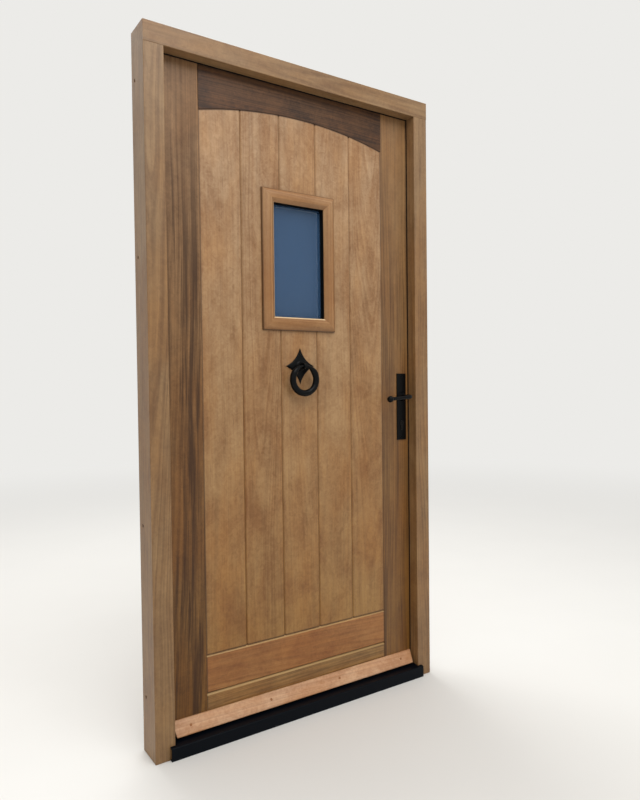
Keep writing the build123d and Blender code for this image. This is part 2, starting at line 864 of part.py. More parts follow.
def moulding(side_x, side_z, facing):
    """One mitred bead of the light, on the side that x and z point to: facing is -1 outside and 1 inside."""
    outward = Vector(side_x, 0, side_z)
    proud = Vector(0, facing, 0)
    face = mid_y + facing * (mid_y - board_y)
    lip = abs(face - mid_y) - unit_thickness / 2 - gasket_thickness
    reach_x = sight_half_x + moulding_face
    reach_z = sight_half_z + moulding_face
    origin = (side_x * sight_half_x, face, window_height + side_z * sight_half_z)
    turned = Vector(-side_z, 0, side_x)
    corners = [
        Vector(side_x, 0, side_z) + turned * end for end in (-1, 1)
    ]
    inner = [(c.X * sight_half_x, window_height + c.Z * sight_half_z) for c in corners]
    outer = [(c.X * reach_x, window_height + c.Z * reach_z) for c in corners]
    with BuildPart() as bead:
        with BuildSketch(Plane(origin, x_dir=outward, z_dir=outward.cross(proud))):
            with BuildLine():
                Polyline((moulding_face, 0), (moulding_lip - fit, 0), (moulding_lip - fit, -lip), (0, -lip),
                         (0, moulding_inner_edge), (moulding_slope, moulding_rise))
                ThreePointArc((moulding_slope, moulding_rise), (0.72 * moulding_face, 0.92 * moulding_rise),
                              (moulding_face, moulding_outer_edge))
                Line((moulding_face, moulding_outer_edge), (moulding_face, 0))
            make_face()
        extrude(amount=max(reach_x, reach_z), both=True)
        with BuildSketch(facade(back_y + moulding_rise)):
            with BuildLine():
                Polyline(inner[0], inner[1], outer[1], outer[0], close=True)
            make_face()
        extrude(amount=leaf_thickness + 3 * moulding_rise, mode=Mode.INTERSECT)
    return bead


bead_sides = {"top": (0, 1), "bottom": (0, -1), "left": (-1, 0), "right": (1, 0)}
for bead_name, (side_x, side_z) in bead_sides.items():
    bead = moulding(side_x, side_z, -1)
    finish(bead, f"window_moulding_{bead_name}")

with BuildPart() as inner_window_mouldings:
    for side_x, side_z in bead_sides.values():
        add(moulding(side_x, side_z, 1).part)
finish(inner_window_mouldings, "inner_window_mouldings")

for pane_name, pane_y in (("outer_pane", unit_y), ("inner_pane", unit_y + pane_thickness + cavity)):
    with BuildPart() as pane:
        with BuildSketch(facade(pane_y + pane_thickness)):
            with Locations((0, window_height)):
                Rectangle(2 * glass_half_x, 2 * glass_half_z)
        extrude(amount=pane_thickness)
    finish(pane, pane_name)

with BuildPart() as pane_spacer:
    add(glazing_frame(glass_half_x, glass_half_z, glass_half_x - spacer_width, glass_half_z - spacer_width,
                      unit_y + pane_thickness, cavity))
finish(pane_spacer, "pane_spacer")

with BuildPart() as glazing_gaskets:
    for gasket_start in (gasket_y, unit_y + unit_thickness):
        add(glazing_frame(glass_half_x, glass_half_z, sight_half_x - gasket_show, sight_half_z - gasket_show,
                          gasket_start, gasket_thickness))
finish(glazing_gaskets, "glazing_gaskets")


# Handle and lock

def handle_plate(facing):
    """A backplate with its hub: facing is -1 outside and 1 inside."""
    surface = face_y if facing < 0 else back_y
    seat = through_plane(spindle_x, surface, plate_middle, facing)
    hub = through_plane(spindle_x, surface + facing * plate_thickness, lever_height, facing)
    with BuildPart() as plate:
        with BuildSketch(seat):
            Rectangle(plate_width, plate_height)
        extrude(amount=plate_thickness)
        chamfer(plate.faces().sort_by(Axis.Y)[0 if facing < 0 else -1].edges(), plate_chamfer)
        with Locations(hub):
            Cone(hub_foot, hub_top, hub_reach, align=(Align.CENTER, Align.CENTER, Align.MIN))
            Cylinder(neck_radius + slip, 4 * hub_reach, mode=Mode.SUBTRACT)
        reach = sorted((surface, surface + facing * plate_thickness))
        add(euro_solid(slip, reach[0] - fit, reach[1] + fit), mode=Mode.SUBTRACT)
        add(handle_screw_holes, mode=Mode.SUBTRACT)
    return plate


for facing, plate_name in ((-1, "outer_handle_plate"), (1, "inner_handle_plate")):
    plate = handle_plate(facing)
    finish(plate, plate_name)


def square_bar(half, y0, y1):
    """A square bar along the spindle's axis, between two depths."""
    return block((spindle_x - half, y0, lever_height - half), (spindle_x + half, y1, lever_height + half))


def lever(facing):
    """A lever on its round neck, pointing to the hinge side: facing is -1 outside and 1 inside."""
    surface = face_y if facing < 0 else back_y
    elbow = surface + facing * lever_stand
    tilt = math.radians(lever_droop)
    along = Vector(-math.cos(tilt), 0, -math.sin(tilt))
    bulb_centre = lever_reach - bulb_radius
    bulb_start = bulb_centre - math.sqrt(bulb_radius**2 - lever_bar_neck**2)
    with BuildPart() as handle:
        with BuildSketch(Plane((spindle_x, surface, lever_height), x_dir=(0, facing, 0), z_dir=(1, 0, 0))):
            with BuildLine():
                Polyline((lever_stand + neck_radius, 0), (0, 0), (0, neck_radius), (lever_stand, neck_radius))
                RadiusArc((lever_stand, neck_radius), (lever_stand + neck_radius, 0), neck_radius)
            make_face()
        revolve(axis=Axis((spindle_x, surface, lever_height), (0, facing, 0)))
        with BuildSketch(Plane((spindle_x, elbow, lever_height), x_dir=along, z_dir=(0, 1, 0))):
            with BuildLine():
                Line((0, 0), (0, lever_bar_root))
                Line((0, lever_bar_root), (bulb_start, lever_bar_neck))
                ThreePointArc((bulb_start, lever_bar_neck), (bulb_centre, bulb_radius), (lever_reach, 0))
                Line((lever_reach, 0), (0, 0))
            make_face()
        revolve(axis=Axis((spindle_x, elbow, lever_height), along))
        shallow, deep = sorted((surface, surface + facing * spindle_socket))
        add(square_bar(spindle_side / 2 + fit, shallow, deep), mode=Mode.SUBTRACT)
    return handle


for facing, lever_name in ((-1, "outer_lever"), (1, "inner_lever")):
    handle = lever(facing)
    finish(handle, lever_name)

with BuildPart() as spindle:
    add(square_bar(spindle_side / 2, face_y - spindle_socket, back_y + spindle_socket))
finish(spindle, "spindle")

with BuildPart() as follower:
    with Locations(through_plane(spindle_x, mid_y, lever_height, -1)):
        Cylinder(follower_radius - slip, follower_thickness)
    add(square_bar(spindle_side / 2 + fit, face_y, back_y), mode=Mode.SUBTRACT)
finish(follower, "follower")

with BuildPart() as lock_case:
    add(block(case_low, case_high))
    add(block([value + case_wall for value in case_low], (case_high[0], case_high[1] - case_wall,
                                                          case_high[2] - case_wall)), mode=Mode.SUBTRACT)
    with Locations(through_plane(spindle_x, mid_y, lever_height, 1)):
        Cylinder(follower_radius, 2 * case_thickness, mode=Mode.SUBTRACT)
    add(euro_solid(slip, face_y, back_y), mode=Mode.SUBTRACT)
finish(lock_case, "lock_case")

with BuildPart() as lock_faceplate:
    add(block(faceplate_low, faceplate_high))
    add(bolt_mortices(case_front, 0, 0), mode=Mode.SUBTRACT)
    add(leaf_screw_holes, mode=Mode.SUBTRACT)
finish(lock_faceplate, "lock_faceplate")

with BuildPart() as latch_bolt:
    with BuildSketch(Plane.XY.offset(latch_height - latch_tall / 2)):
        with BuildLine():
            low = mid_y - latch_width / 2
            high = mid_y + latch_width / 2
            Polyline(
                (half_leaf - latch_length, low), (half_leaf - latch_bevel, low), (half_leaf, high - latch_nose),
                (half_leaf, high), (half_leaf - latch_length, high), close=True,
            )
        make_face()
    extrude(amount=latch_tall)
finish(latch_bolt, "latch_bolt")

with BuildPart() as deadbolt:
    add(block((half_leaf - deadbolt_length, mid_y - deadbolt_width / 2, deadbolt_height - deadbolt_tall / 2),
              (half_leaf, mid_y + deadbolt_width / 2, deadbolt_height + deadbolt_tall / 2)))
finish(deadbolt, "deadbolt")

cylinder_front = plate_front_y - cylinder_proud
cylinder_back = plate_back_y + cylinder_proud
cam_half = cam_thickness / 2
key_z = cylinder_z - key_slot_tall / 2

with BuildPart() as cylinder_body:
    add(euro_solid(0, cylinder_front, cylinder_back))
    with Locations(through_plane(spindle_x, mid_y, cylinder_z, 1)):
        Cylinder(plug_radius + running_fit, 2 * leaf_thickness, mode=Mode.SUBTRACT)
        Box(2 * cam_radius, 2 * (cam_radius + cam_play), cam_thickness + 2 * slip, mode=Mode.SUBTRACT)
finish(cylinder_body, "cylinder_body")

with BuildPart() as key_plug:
    with BuildSketch(facade(mid_y - cam_half)):
        with Locations((spindle_x, cylinder_z)):
            Circle(plug_radius)
    extrude(amount=mid_y - cam_half - cylinder_front)
    with BuildSketch(facade(mid_y + cam_half)):
        with Locations((spindle_x, cylinder_z)):
            Circle(cylinder_radius)
        with Locations((spindle_x, cylinder_z + cam_radius / 2)):
            RectangleRounded(plug_radius, cam_radius, cam_round)
    extrude(amount=cam_thickness)
    add(block((spindle_x - key_slot_wide / 2, cylinder_front, key_z),
              (spindle_x + key_slot_wide / 2, cylinder_front + key_slot_depth, key_z + key_slot_tall)),
        mode=Mode.SUBTRACT)
finish(key_plug, "key_plug")

with BuildPart() as thumbturn:
    plug_start = mid_y + cam_half
    with BuildSketch(through_plane(spindle_x, plug_start, cylinder_z, 1)):
        Circle(plug_radius)
    extrude(amount=cylinder_back - plug_start + thumb_stem)
    with BuildSketch(through_plane(spindle_x, cylinder_back + thumb_stem, cylinder_z, 1)):
        SlotOverall(thumb_width, thumb_grip)
    extrude(amount=thumb_length)
    chamfer(thumbturn.faces().sort_by(Axis.Y)[-1].edges(), thumb_chamfer)
finish(thumbturn, "thumbturn")


# Ring knocker

pivot = Plane((0, pivot_y, knocker_height), x_dir=(0, 1, 0), z_dir=(1, 0, 0))

with BuildPart() as knocker_plate:
    points = [
        (0, knocker_height + star_half_height), (star_half_width, knocker_height),
        (0, knocker_height - star_half_height), (-star_half_width, knocker_height),
    ]
    with BuildSketch(facade(board_y)):
        with BuildLine():
            for start, end in zip(points, points[1:] + points[:1]):
                middle = (Vector(*start) + Vector(*end)) / 2
                inward = (Vector(0, knocker_height) - middle).normalized()
                ThreePointArc(start, middle + inward * star_hollow, end)
        make_face()
    extrude(amount=star_thickness)
    chamfer(knocker_plate.faces().sort_by(Axis.Y)[0].edges(), star_chamfer)
    with Locations(through_plane(0, star_y, knocker_height, -1)):
        Cone(boss_foot, boss_top, boss_reach, align=(Align.CENTER, Align.CENTER, Align.MIN))
    with BuildSketch(Plane((0, 0, knocker_height), x_dir=(0, 1, 0), z_dir=(1, 0, 0))):
        with Locations((pivot_y, 0)):
            Circle(eye_radius)
        with Locations(((pivot_y + star_y) / 2, 0)):
            Rectangle(star_y - pivot_y, 2 * eye_radius)
    extrude(amount=eye_thickness / 2, both=True)
    with Locations(pivot):
        Cylinder(eye_bore, 2 * eye_thickness, mode=Mode.SUBTRACT)
    add(star_screw_holes, mode=Mode.SUBTRACT)
finish(knocker_plate, "knocker_plate")


ring_middle = knocker_height - ring_radius
ring_axis = Axis((0, pivot_y, ring_middle), (0, 1, 0))
ring_taper_step = (ring_taper_end - ring_taper_start) / ring_taper_steps


def ring_section(angle):
    """The ring's round section at an angle from its top: thin in the eye, thick in the hand."""
    share = (abs(angle) - ring_taper_start) / (ring_taper_end - ring_taper_start)
    swell = ring_thin + (ring_thick - ring_thin) * share * share * (3 - 2 * share)
    turn = math.radians(angle)
    centre = (ring_radius * math.sin(turn), pivot_y, ring_middle + ring_radius * math.cos(turn))
    with BuildSketch(Plane(centre, x_dir=(0, 1, 0), z_dir=(math.cos(turn), 0, -math.sin(turn)))) as section:
        Circle(swell)
    return section.sketch


with BuildPart() as knocker_ring:
    revolve(ring_section(ring_taper_end), axis=ring_axis, revolution_arc=360 - 2 * ring_taper_end)
    revolve(ring_section(-ring_taper_start), axis=ring_axis, revolution_arc=2 * ring_taper_start)
    for side in (-1, 1):
        angles = [side * (ring_taper_start + step * ring_taper_step) for step in range(ring_taper_steps + 1)]
        loft([ring_section(angle) for angle in angles])
finish(knocker_ring, "knocker_ring")


# Screws of the leaf

with BuildPart() as leaf_screws:
    add(screws(hinge_screw_planes[1] + faceplate_screw_planes, screw_length))
finish(leaf_screws, "leaf_screws")

with BuildPart() as black_screws:
    add(screws(outer_screw_planes + inner_screw_planes, screw_length))
    add(screws(star_screw_planes, board_thickness))
    add(screws(weather_screw_planes, weather_screw_length))
finish(black_screws, "black_screws")
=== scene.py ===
import math

import bmesh
import bpy
from mathutils import Matrix, Vector, noise


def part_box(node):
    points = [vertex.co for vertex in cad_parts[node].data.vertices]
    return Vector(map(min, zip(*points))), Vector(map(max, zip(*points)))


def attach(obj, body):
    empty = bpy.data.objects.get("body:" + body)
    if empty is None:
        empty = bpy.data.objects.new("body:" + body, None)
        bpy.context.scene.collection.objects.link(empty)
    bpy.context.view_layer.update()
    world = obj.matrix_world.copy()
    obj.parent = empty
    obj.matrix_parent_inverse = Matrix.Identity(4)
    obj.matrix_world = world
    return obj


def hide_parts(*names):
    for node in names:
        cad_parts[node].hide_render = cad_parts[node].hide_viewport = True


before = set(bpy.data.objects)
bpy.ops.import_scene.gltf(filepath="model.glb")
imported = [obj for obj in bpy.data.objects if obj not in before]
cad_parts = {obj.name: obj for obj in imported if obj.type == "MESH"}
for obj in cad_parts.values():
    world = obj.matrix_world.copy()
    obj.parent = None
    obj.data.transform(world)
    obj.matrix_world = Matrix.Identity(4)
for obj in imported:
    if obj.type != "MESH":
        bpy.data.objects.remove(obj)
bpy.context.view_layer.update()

bl_info = {
    "name": "Boarded front door",
    "version": (1, 0, 0),
    "blender": (4, 5, 0),
    "location": "3D View > Sidebar > Door",
    "description": "Stained timber, black ironware, glass and a studio for a boarded front door in its frame",
    "category": "Object",
}

MM = 0.001
# Inputs of the colour Mix node, which has several of the same name
FACTOR, FIRST, SECOND = 0, 6, 7

# Where the photograph was taken from
EYE = Vector((-1.1035, -1.7688, 1.0294))
HEADING = math.radians(33.727)
PITCH = math.radians(-1.445)
ROLL = math.radians(-0.661)
LENS = 29.756
SENSOR = 36

# Places that the pieces share with the solids
FACE_Y = -6.5 * MM
BACK_Y = 47.5 * MM
STAR_Y = -8.5 * MM
STOP_Y = -9.5 * MM
STOP_HALF = 445.5 * MM
STOP_TOP = 1940 * MM
WINDOW = Vector((0, 0, 1408.5)) * MM
SIGHT_HALF = Vector((91.5, 0, 174)) * MM
MOULDING_HALF = SIGHT_HALF + Vector((40, 0, 40)) * MM
PIVOT = Vector((0, -31.5, 1084)) * MM
SPINDLE = Vector((412.5, 0, 980)) * MM
FIELD_HALF = 330.5 * MM
ARCH_CROWN = 1851 * MM
ARCH_RISE = 41 * MM
ARCH_RADIUS = (FIELD_HALF ** 2 + ARCH_RISE ** 2) / (2 * ARCH_RISE)
ARCH_CENTRE = ARCH_CROWN - ARCH_RADIUS
RAIL_TOP = 132 * MM
LOWER_BOARD_TOP = 245 * MM

# Joint lines: axis, middle, half width, and depth as a share of the usual one. The lines on Z darken the
# timber above a height, and their other side is two metres up, off the door. They are painted shade in the
# gap at the foot of the boards and of the lower board; the line beside the stiles is a dark joint with
# painted shade from the stiles' edge.
STILE_JOINT_AND_SHADE = ("X", 0, FIELD_HALF, 1.8)
LOWER_BOARD_FOOT_SHADE_LINE = ("Z", RAIL_TOP + 1, 1, 2)
BOARD_FOOT_SHADE_LINE = ("Z", LOWER_BOARD_TOP + 1, 1, 2)
BOARD_JOINT_DEPTH = 0.7


def linear(code):
    """An sRGB hex colour as the linear colour that shaders take."""
    channels = [int(code[i:i + 2], 16) / 255 for i in (1, 3, 5)]
    return [c / 12.92 if c <= 0.04045 else ((c + 0.055) / 1.055) ** 2.4 for c in channels] + [1.0]


def colour(name, description, code):
    """A colour that a user can change, given as an sRGB hex value."""
    return bpy.props.FloatVectorProperty(
        name=name, description=description, default=linear(code), size=4, min=0, max=1, subtype="COLOR")


def length(name, description, millimetres):
    """A length that a user can change, given in millimetres and kept in metres."""
    return bpy.props.FloatProperty(
        name=name, description=description, default=millimetres * MM, min=0, precision=4, unit="LENGTH")


def amount(name, description, default, **limits):
    """A share, strength or power that a user can change."""
    return bpy.props.FloatProperty(name=name, description=description, default=default, min=0, **limits)


def add_node(tree, kind, sockets=None, **settings):
    """Adds a shader node with its settings.

    A socket takes a value, another node's output, or a node, which gives its first output in use.
    """
    node = tree.nodes.new(kind)
    for name, value in settings.items():
        setattr(node, name, value)
    for key, value in (sockets or {}).items():
        if isinstance(value, bpy.types.Node):
            value = next(output for output in value.outputs if output.enabled)
        if isinstance(value, bpy.types.NodeSocket):
            tree.links.new(value, node.inputs[key])
        else:
            node.inputs[key].default_value = value
    return node


def blank_material(name):
    """A material, its tree, and the place on the piece that its patterns follow."""
    material = bpy.data.materials.new(name)
    material.use_nodes = True
    tree = material.node_tree
    tree.nodes.clear()
    return material, tree, add_node(tree, "ShaderNodeTexCoord").outputs["Object"]


def surface(tree, sockets):
    """Ends a tree with the Principled shader."""
    shader = add_node(tree, "ShaderNodeBsdfPrincipled", sockets)
    add_node(tree, "ShaderNodeOutputMaterial", {"Surface": shader})


def finish_nodes(material, *names):
    """Gives CAD nodes a material in their own slots."""
    for name in names:
        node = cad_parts[name]
        node.data.materials.clear()
        node.data.materials.append(material)


def middle_of(name):
    """The middle of a CAD node."""
    low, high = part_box(name)
    return (low + high) / 2


def new_piece(name, mesh, body, slot, material, *nodes):
    """Ends a mesh as a smooth piece that rides on a body and stands for CAD nodes."""
    bmesh.ops.remove_doubles(mesh, verts=mesh.verts, dist=0.01 * MM)
    bmesh.ops.recalc_face_normals(mesh, faces=mesh.faces)
    piece = bpy.data.objects.new(name, bpy.data.meshes.new(name))
    mesh.to_mesh(piece.data)
    mesh.free()
    piece.data.shade_smooth()
    piece.data.set_sharp_from_angle(angle=math.radians(40))
    piece.data.materials.append(material)
    bpy.context.scene.collection.objects.link(piece)
    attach(piece, body)
    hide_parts(*nodes)


def stand_on(origin, outward):
    """The transform that stands a shape on an origin, with its Z axis outward."""
    return Matrix.Translation(origin) @ Vector(outward).to_track_quat("Z", "Y").to_matrix().to_4x4()


def points_in(geometry):
    """The vertices among what an operator made."""
    return [item for item in geometry if isinstance(item, bmesh.types.BMVert)]


def circle(mesh, place, radius, sides):
    """An open circle, as its vertices and its edges."""
    made = bmesh.ops.create_circle(mesh, cap_ends=False, segments=sides, radius=radius, matrix=place)["verts"]
    return made, list({edge for vert in made for edge in vert.link_edges})


def draw_edges(mesh, edges):
    """Extrudes a loop of edges and gives the vertices and edges of its new end."""
    drawn = bmesh.ops.extrude_edge_only(mesh, edges=edges)["geom"]
    end = [item for item in drawn if isinstance(item, bmesh.types.BMEdge) and item.is_boundary]
    return points_in(drawn), end


def soften(mesh, edges, width, segments):
    """Rounds edges off."""
    bmesh.ops.bevel(mesh, geom=edges, offset=width, segments=segments, profile=0.5, affect="EDGES",
                    material=-1)


def raise_slab(mesh, outline, rise, width, segments):
    """Fills an outline, raises it by a vector and rounds off its upper rim."""
    face = mesh.faces.new(outline)
    top = points_in(bmesh.ops.extrude_face_region(mesh, geom=[face])["geom"])
    bmesh.ops.translate(mesh, vec=rise, verts=top)
    rim = [edge for edge in mesh.edges if all(vert in top for vert in edge.verts)]
    soften(mesh, rim, width, segments)


def draw_out(mesh, path, sides):
    """A round bar: a circle drawn out from station to station, each a centre, a direction and a radius."""
    centre, direction, radius = path[0]
    _, edges = circle(mesh, stand_on(centre, direction), radius, sides)
    bmesh.ops.holes_fill(mesh, edges=edges, sides=0)
    for next_centre, next_direction, next_radius in path[1:]:
        verts, edges = draw_edges(mesh, edges)
        at_centre = Matrix.Translation(-centre)
        turn = direction.rotation_difference(next_direction).to_matrix()
        bmesh.ops.rotate(mesh, cent=(0, 0, 0), matrix=turn, verts=verts, space=at_centre)
        bmesh.ops.scale(mesh, vec=[next_radius / radius] * 3, verts=verts, space=at_centre)
        bmesh.ops.translate(mesh, vec=next_centre - centre, verts=verts)
        centre, direction, radius = next_centre, next_direction, next_radius
    bmesh.ops.holes_fill(mesh, edges=edges, sides=0)


def lathe(mesh, profile, origin, outward, sides):
    """Spins a profile of radius and height round an axis that points outward from an origin."""
    place = stand_on(origin, outward)
    verts = [mesh.verts.new(place @ Vector((radius, 0, height))) for radius, height in profile]
    edges = [mesh.edges.new(pair) for pair in zip(verts, verts[1:])]
    bmesh.ops.spin(mesh, geom=verts + edges, cent=origin, axis=outward, angle=math.tau, steps=sides,
                   use_merge=True, use_duplicate=False)


def draw_round(mesh, profile, corners):
    """A strip: a profile of reach and depth drawn past mitred corners, each a place and its way outward."""
    reach = mesh.verts.layers.float.get("reach") or mesh.verts.layers.float.new("reach")
    made = [mesh.verts.new((0, depth, 0)) for _, depth in profile]
    for vert, (outward, _) in zip(made, profile):
        vert[reach] = outward
    edges = [mesh.edges.new(pair) for pair in zip(made, made[1:] + made[:1])]
    is_open = corners[0] != corners[-1]
    for index, (x, z, out_x, out_z) in enumerate(corners):
        if index:
            made, edges = draw_edges(mesh, edges)
        for vert in made:
            vert.co = (x + out_x * vert[reach], vert.co.y, z + out_z * vert[reach])
        if is_open and index in (0, len(corners) - 1):
            bmesh.ops.holes_fill(mesh, edges=edges, sides=0)


def join(mesh, other):
    """Adds another mesh to a mesh and frees it."""
    joined = bpy.data.meshes.new("joined")
    other.to_mesh(joined)
    other.free()
    mesh.from_mesh(joined)
    bpy.data.meshes.remove(joined)


def hammer(mesh, centre_of, depth, pitch):
    """Dents a forged bar: every point moves towards the bar's centre line, never out."""
    for vert in mesh.verts:
        out = vert.co - centre_of(vert.co)
        dent = 0.5 + 0.5 * noise.noise(vert.co / pitch)
        if out.length > depth:
            vert.co -= out.normalized() * depth * dent


class TimberSizes(bpy.types.PropertyGroup):
    """Colours and grain of the stained timber."""

    board_light: colour("Boards", "Earlywood of the boards", "#B99874")
    board_dark: colour("Boards, grain", "Latewood of the boards", "#8C6642")
    hinge_light: colour("Hinge stile", "Earlywood of the hinge stile", "#967350")
    hinge_dark: colour("Hinge stile, grain", "Latewood of the hinge stile", "#4B3018")
    lock_light: colour("Lock stile", "Earlywood of the lock stile", "#9C784E")
    lock_dark: colour("Lock stile, grain", "Latewood of the lock stile", "#694A2C")
    bottom_light: colour("Bottom rail", "Earlywood of the bottom rail", "#B89A76")
    bottom_dark: colour("Bottom rail, grain", "Latewood of the bottom rail", "#856340")
    # The top rail's colours are partly painted shade, as under a lintel over the door
    rail_light: colour("Top rail", "Earlywood of the top rail", "#6C4A2D")
    rail_dark: colour("Top rail, grain", "Latewood of the top rail", "#2A180B")
    lower_light: colour("Lower board", "Earlywood of the lower board", "#BE8E62")
    lower_dark: colour("Lower board, grain", "Latewood of the lower board", "#895A35")
    moulding_light: colour("Window mouldings", "Earlywood of the window mouldings", "#AF885F")
    moulding_dark: colour("Window mouldings, grain", "Latewood of the window mouldings", "#83592F")
    weather_light: colour("Weatherboard", "Earlywood of the weatherboard", "#DFB99B")
    weather_dark: colour("Weatherboard, grain", "Latewood of the weatherboard", "#BB8A66")
    frame_light: colour("Frame", "Earlywood of the frame", "#A0805A")
    frame_dark: colour("Frame, grain", "Latewood of the frame", "#705235")
    raw_light: colour("Core", "Unstained timber inside the leaf", "#D8BE93")
    raw_dark: colour("Core, grain", "Grain of the unstained timber", "#BC9A68")
    stain: colour("Dark streaks", "Mineral streaks, joint stain and painted shade lines", "#3D2510")
    # Also the colour of the painted shade lines under edges, along the arch and round the mouldings
    warm_tone: colour("Warm patches", "Tint of the warmer patches of the stain", "#FAEBD4")
    # Painted highlight: a pale tone laid along upper edges and inner arrises, where light from above catches
    # them
    edge_highlight_tone: colour("Painted edge highlights", "Pale painted highlight along edges that light catches", "#EFD3AE")
    # Painted shade: multiplied into the timber towards the foot, for the weaker light low on the door
    foot_shade_tint: colour("Painted shade at the foot", "Painted shade tint towards the foot", "#DAC582")
    ring_spacing: length("Growth rings", "Width of a growth ring", 5)
    fibre_width: length("Fibres", "Width of a fibre streak, drawn coarse enough to show", 2.5)
    fibre_length: length("Fibre length", "Length of a fibre streak", 130)
    # Both sizes serve the joint lines of stain and the lines of painted shade
    line_width: length("Joint line", "Width of the dark lines of joint stain and painted shade", 3)
    line_depth: amount("Joint line depth", "Darkness of the lines of joint stain and painted shade", 0.42, max=1,
                       subtype="FACTOR")


class IronSizes(bpy.types.PropertyGroup):
    """Sizes and colours of the ironware, metals, seals and glass."""

    iron: colour("Ironware", "Black coat on the cast iron", "#040506")
    hammer_mark: length("Hammer marks", "Width of a hammer mark", 7)
    dent: length("Dents", "Depth of a hammer mark on the knocker and the levers", 1.0)
    ring_radius: length("Knocker ring", "Radius of the ring's centre line", 42.5)
    ring_thick: length("Ring's foot", "Radius of the bar in the hand", 10.5)
    ring_thin: length("Ring's top", "Radius of the bar in the eye", 4.5)
    lever_stand: length("Lever's stand", "From the door's face to the middle of the lever", 54)
    lever_reach: length("Lever's reach", "From the spindle to the tip of the ball", 104)
    lever_bar: length("Lever's bar", "Radius of the bar at its root", 7.7)
    lever_ball: length("Lever's ball", "Radius of the ball at the tip", 11.5)
    screw_head: length("Screw heads", "Radius of a domed head", 4)
    plug: colour("Screw plugs", "Filler over the weatherboard's screws", "#A3714C")
    aluminium: colour("Threshold", "Black coat on the threshold", "#02070F")
    rubber: colour("Seals", "Black rubber", "#0C0C0C")
    steel: colour("Hinges and lock", "Satin steel", "#B4B2AE")
    brass: colour("Cylinder", "Blackened brass", "#1C1A18")
    spacer: colour("Spacer", "Mill aluminium between the panes", "#D2D5D8")
    # Painted reflection: the blue-grey stands in for the sky reflected in the panes and the dark room behind
    # them
    glass: colour("Glass", "Painted sky reflection and dark room behind the panes", "#45668C")
    see_through: amount("Clearness", "Share of the outer pane that lets the spacer bar show", 0.56, max=1,
                        subtype="FACTOR")


class StageSizes(bpy.types.PropertyGroup):
    """The studio round the door."""

    floor: colour("Floor", "Plain pale floor", "#E4E2DD")
    backdrop: colour("Background", "Plain pale background", "#ECEBE8")
    sky_light: amount("Light from above", "Strength of the soft light from overhead", 0.85)
    ground_light: amount("Light from below", "Strength of the soft light from the ground", 0.35)
    key_light: amount("Key light", "Power of the large lamp above the front", 75, unit="POWER")
    back_light: amount("Back light", "Power of the large lamp above the back", 75, unit="POWER")


def mottled(tree, share, tint, darkest):
    """A colour that a pattern varies, down to a darker shade of itself."""
    shade = [channel * darkest for channel in tint[:3]] + [1.0]
    return add_node(tree, "ShaderNodeMix", {FACTOR: share, FIRST: shade, SECOND: tint}, data_type="RGBA")


def drawn_noise(tree, place, marks, detail, roughness, distortion=0.0, start=(0, 0, 0)):
    """Noise with its own number of marks to the metre along each axis, so that it can be drawn out."""
    drawn = add_node(tree, "ShaderNodeMapping", {"Vector": place, "Location": start, "Scale": marks})
    return add_node(tree, "ShaderNodeTexNoise", {
        "Vector": drawn, "Scale": 1.0, "Detail": detail, "Roughness": roughness, "Distortion": distortion})


def away_from(tree, value, middle):
    """The distance of a value from a middle."""
    shifted = add_node(tree, "ShaderNodeMath", {0: value, 1: middle}, operation="SUBTRACT")
    return add_node(tree, "ShaderNodeMath", {0: shifted}, operation="ABSOLUTE")


def stain_and_shade_line(tree, share, distance, half, width, depth):
    """Darkens a surface where a distance comes near to half: stain gathered in a joint, and painted shade
    where the line stands for an edge's shade.
    """
    line = add_node(tree, "ShaderNodeMapRange", {
        "Value": distance, "From Min": half - width, "From Max": half, "To Max": depth},
        interpolation_type="SMOOTHSTEP")
    return add_node(tree, "ShaderNodeMath", {0: share, 1: line}, operation="MAXIMUM")


def log_space(tree, place, along, heart, lean):
    """The place in the log that a piece was cut from, with its pith on Z: straight, and bent as it grew."""
    turn = (math.radians(lean[0]), math.radians(lean[1]) + (math.pi / 2 if along == "X" else 0), 0)
    straight = add_node(tree, "ShaderNodeMapping", {"Vector": place, "Location": heart, "Rotation": turn},
                        vector_type="TEXTURE")
    # The rings wander by a few centimetres along the log's length
    most = 60 * MM
    wander = drawn_noise(tree, straight, (5, 5, 0.8), detail=3.0, roughness=0.4).outputs["Color"]
    centred = add_node(tree, "ShaderNodeVectorMath", {0: wander, 1: (0.5, 0.5, 0.5)}, operation="SUBTRACT")
    bent = add_node(tree, "ShaderNodeVectorMath", {0: centred, 1: (most, most, 0), 2: straight},
                    operation="MULTIPLY_ADD")
    return straight, bent


def growth_rings(tree, bent, spacing):
    """Bands of wide and narrow years, and the sharp dark edge of each year over them."""
    across = add_node(tree, "ShaderNodeVectorMath", {0: bent, 1: (1, 1, 0)}, operation="MULTIPLY")
    radius = add_node(tree, "ShaderNodeVectorMath", {0: across}, operation="LENGTH")
    rings = add_node(tree, "ShaderNodeMath", {0: radius, 1: spacing}, operation="DIVIDE")
    years = add_node(tree, "ShaderNodeTexNoise", {"W": rings, "Scale": 0.8, "Detail": 2.0, "Roughness": 0.6},
                     noise_dimensions="1D")
    bands = add_node(tree, "ShaderNodeMapRange", {"Value": years, "From Min": 0.34, "From Max": 0.68},
                     interpolation_type="SMOOTHSTEP")
    uneven = add_node(tree, "ShaderNodeMath", {0: years, 1: 2.0, 2: rings}, operation="MULTIPLY_ADD")
    year_part = add_node(tree, "ShaderNodeMath", {0: uneven}, operation="FRACT")
    latewood = add_node(tree, "ShaderNodeMapRange", {"Value": year_part, "From Min": 0.4, "From Max": 0.95},
                        interpolation_type="SMOOTHSTEP")
    return add_node(tree, "ShaderNodeMath", {0: latewood, 1: 0.5, 2: bands}, operation="MULTIPLY_ADD")


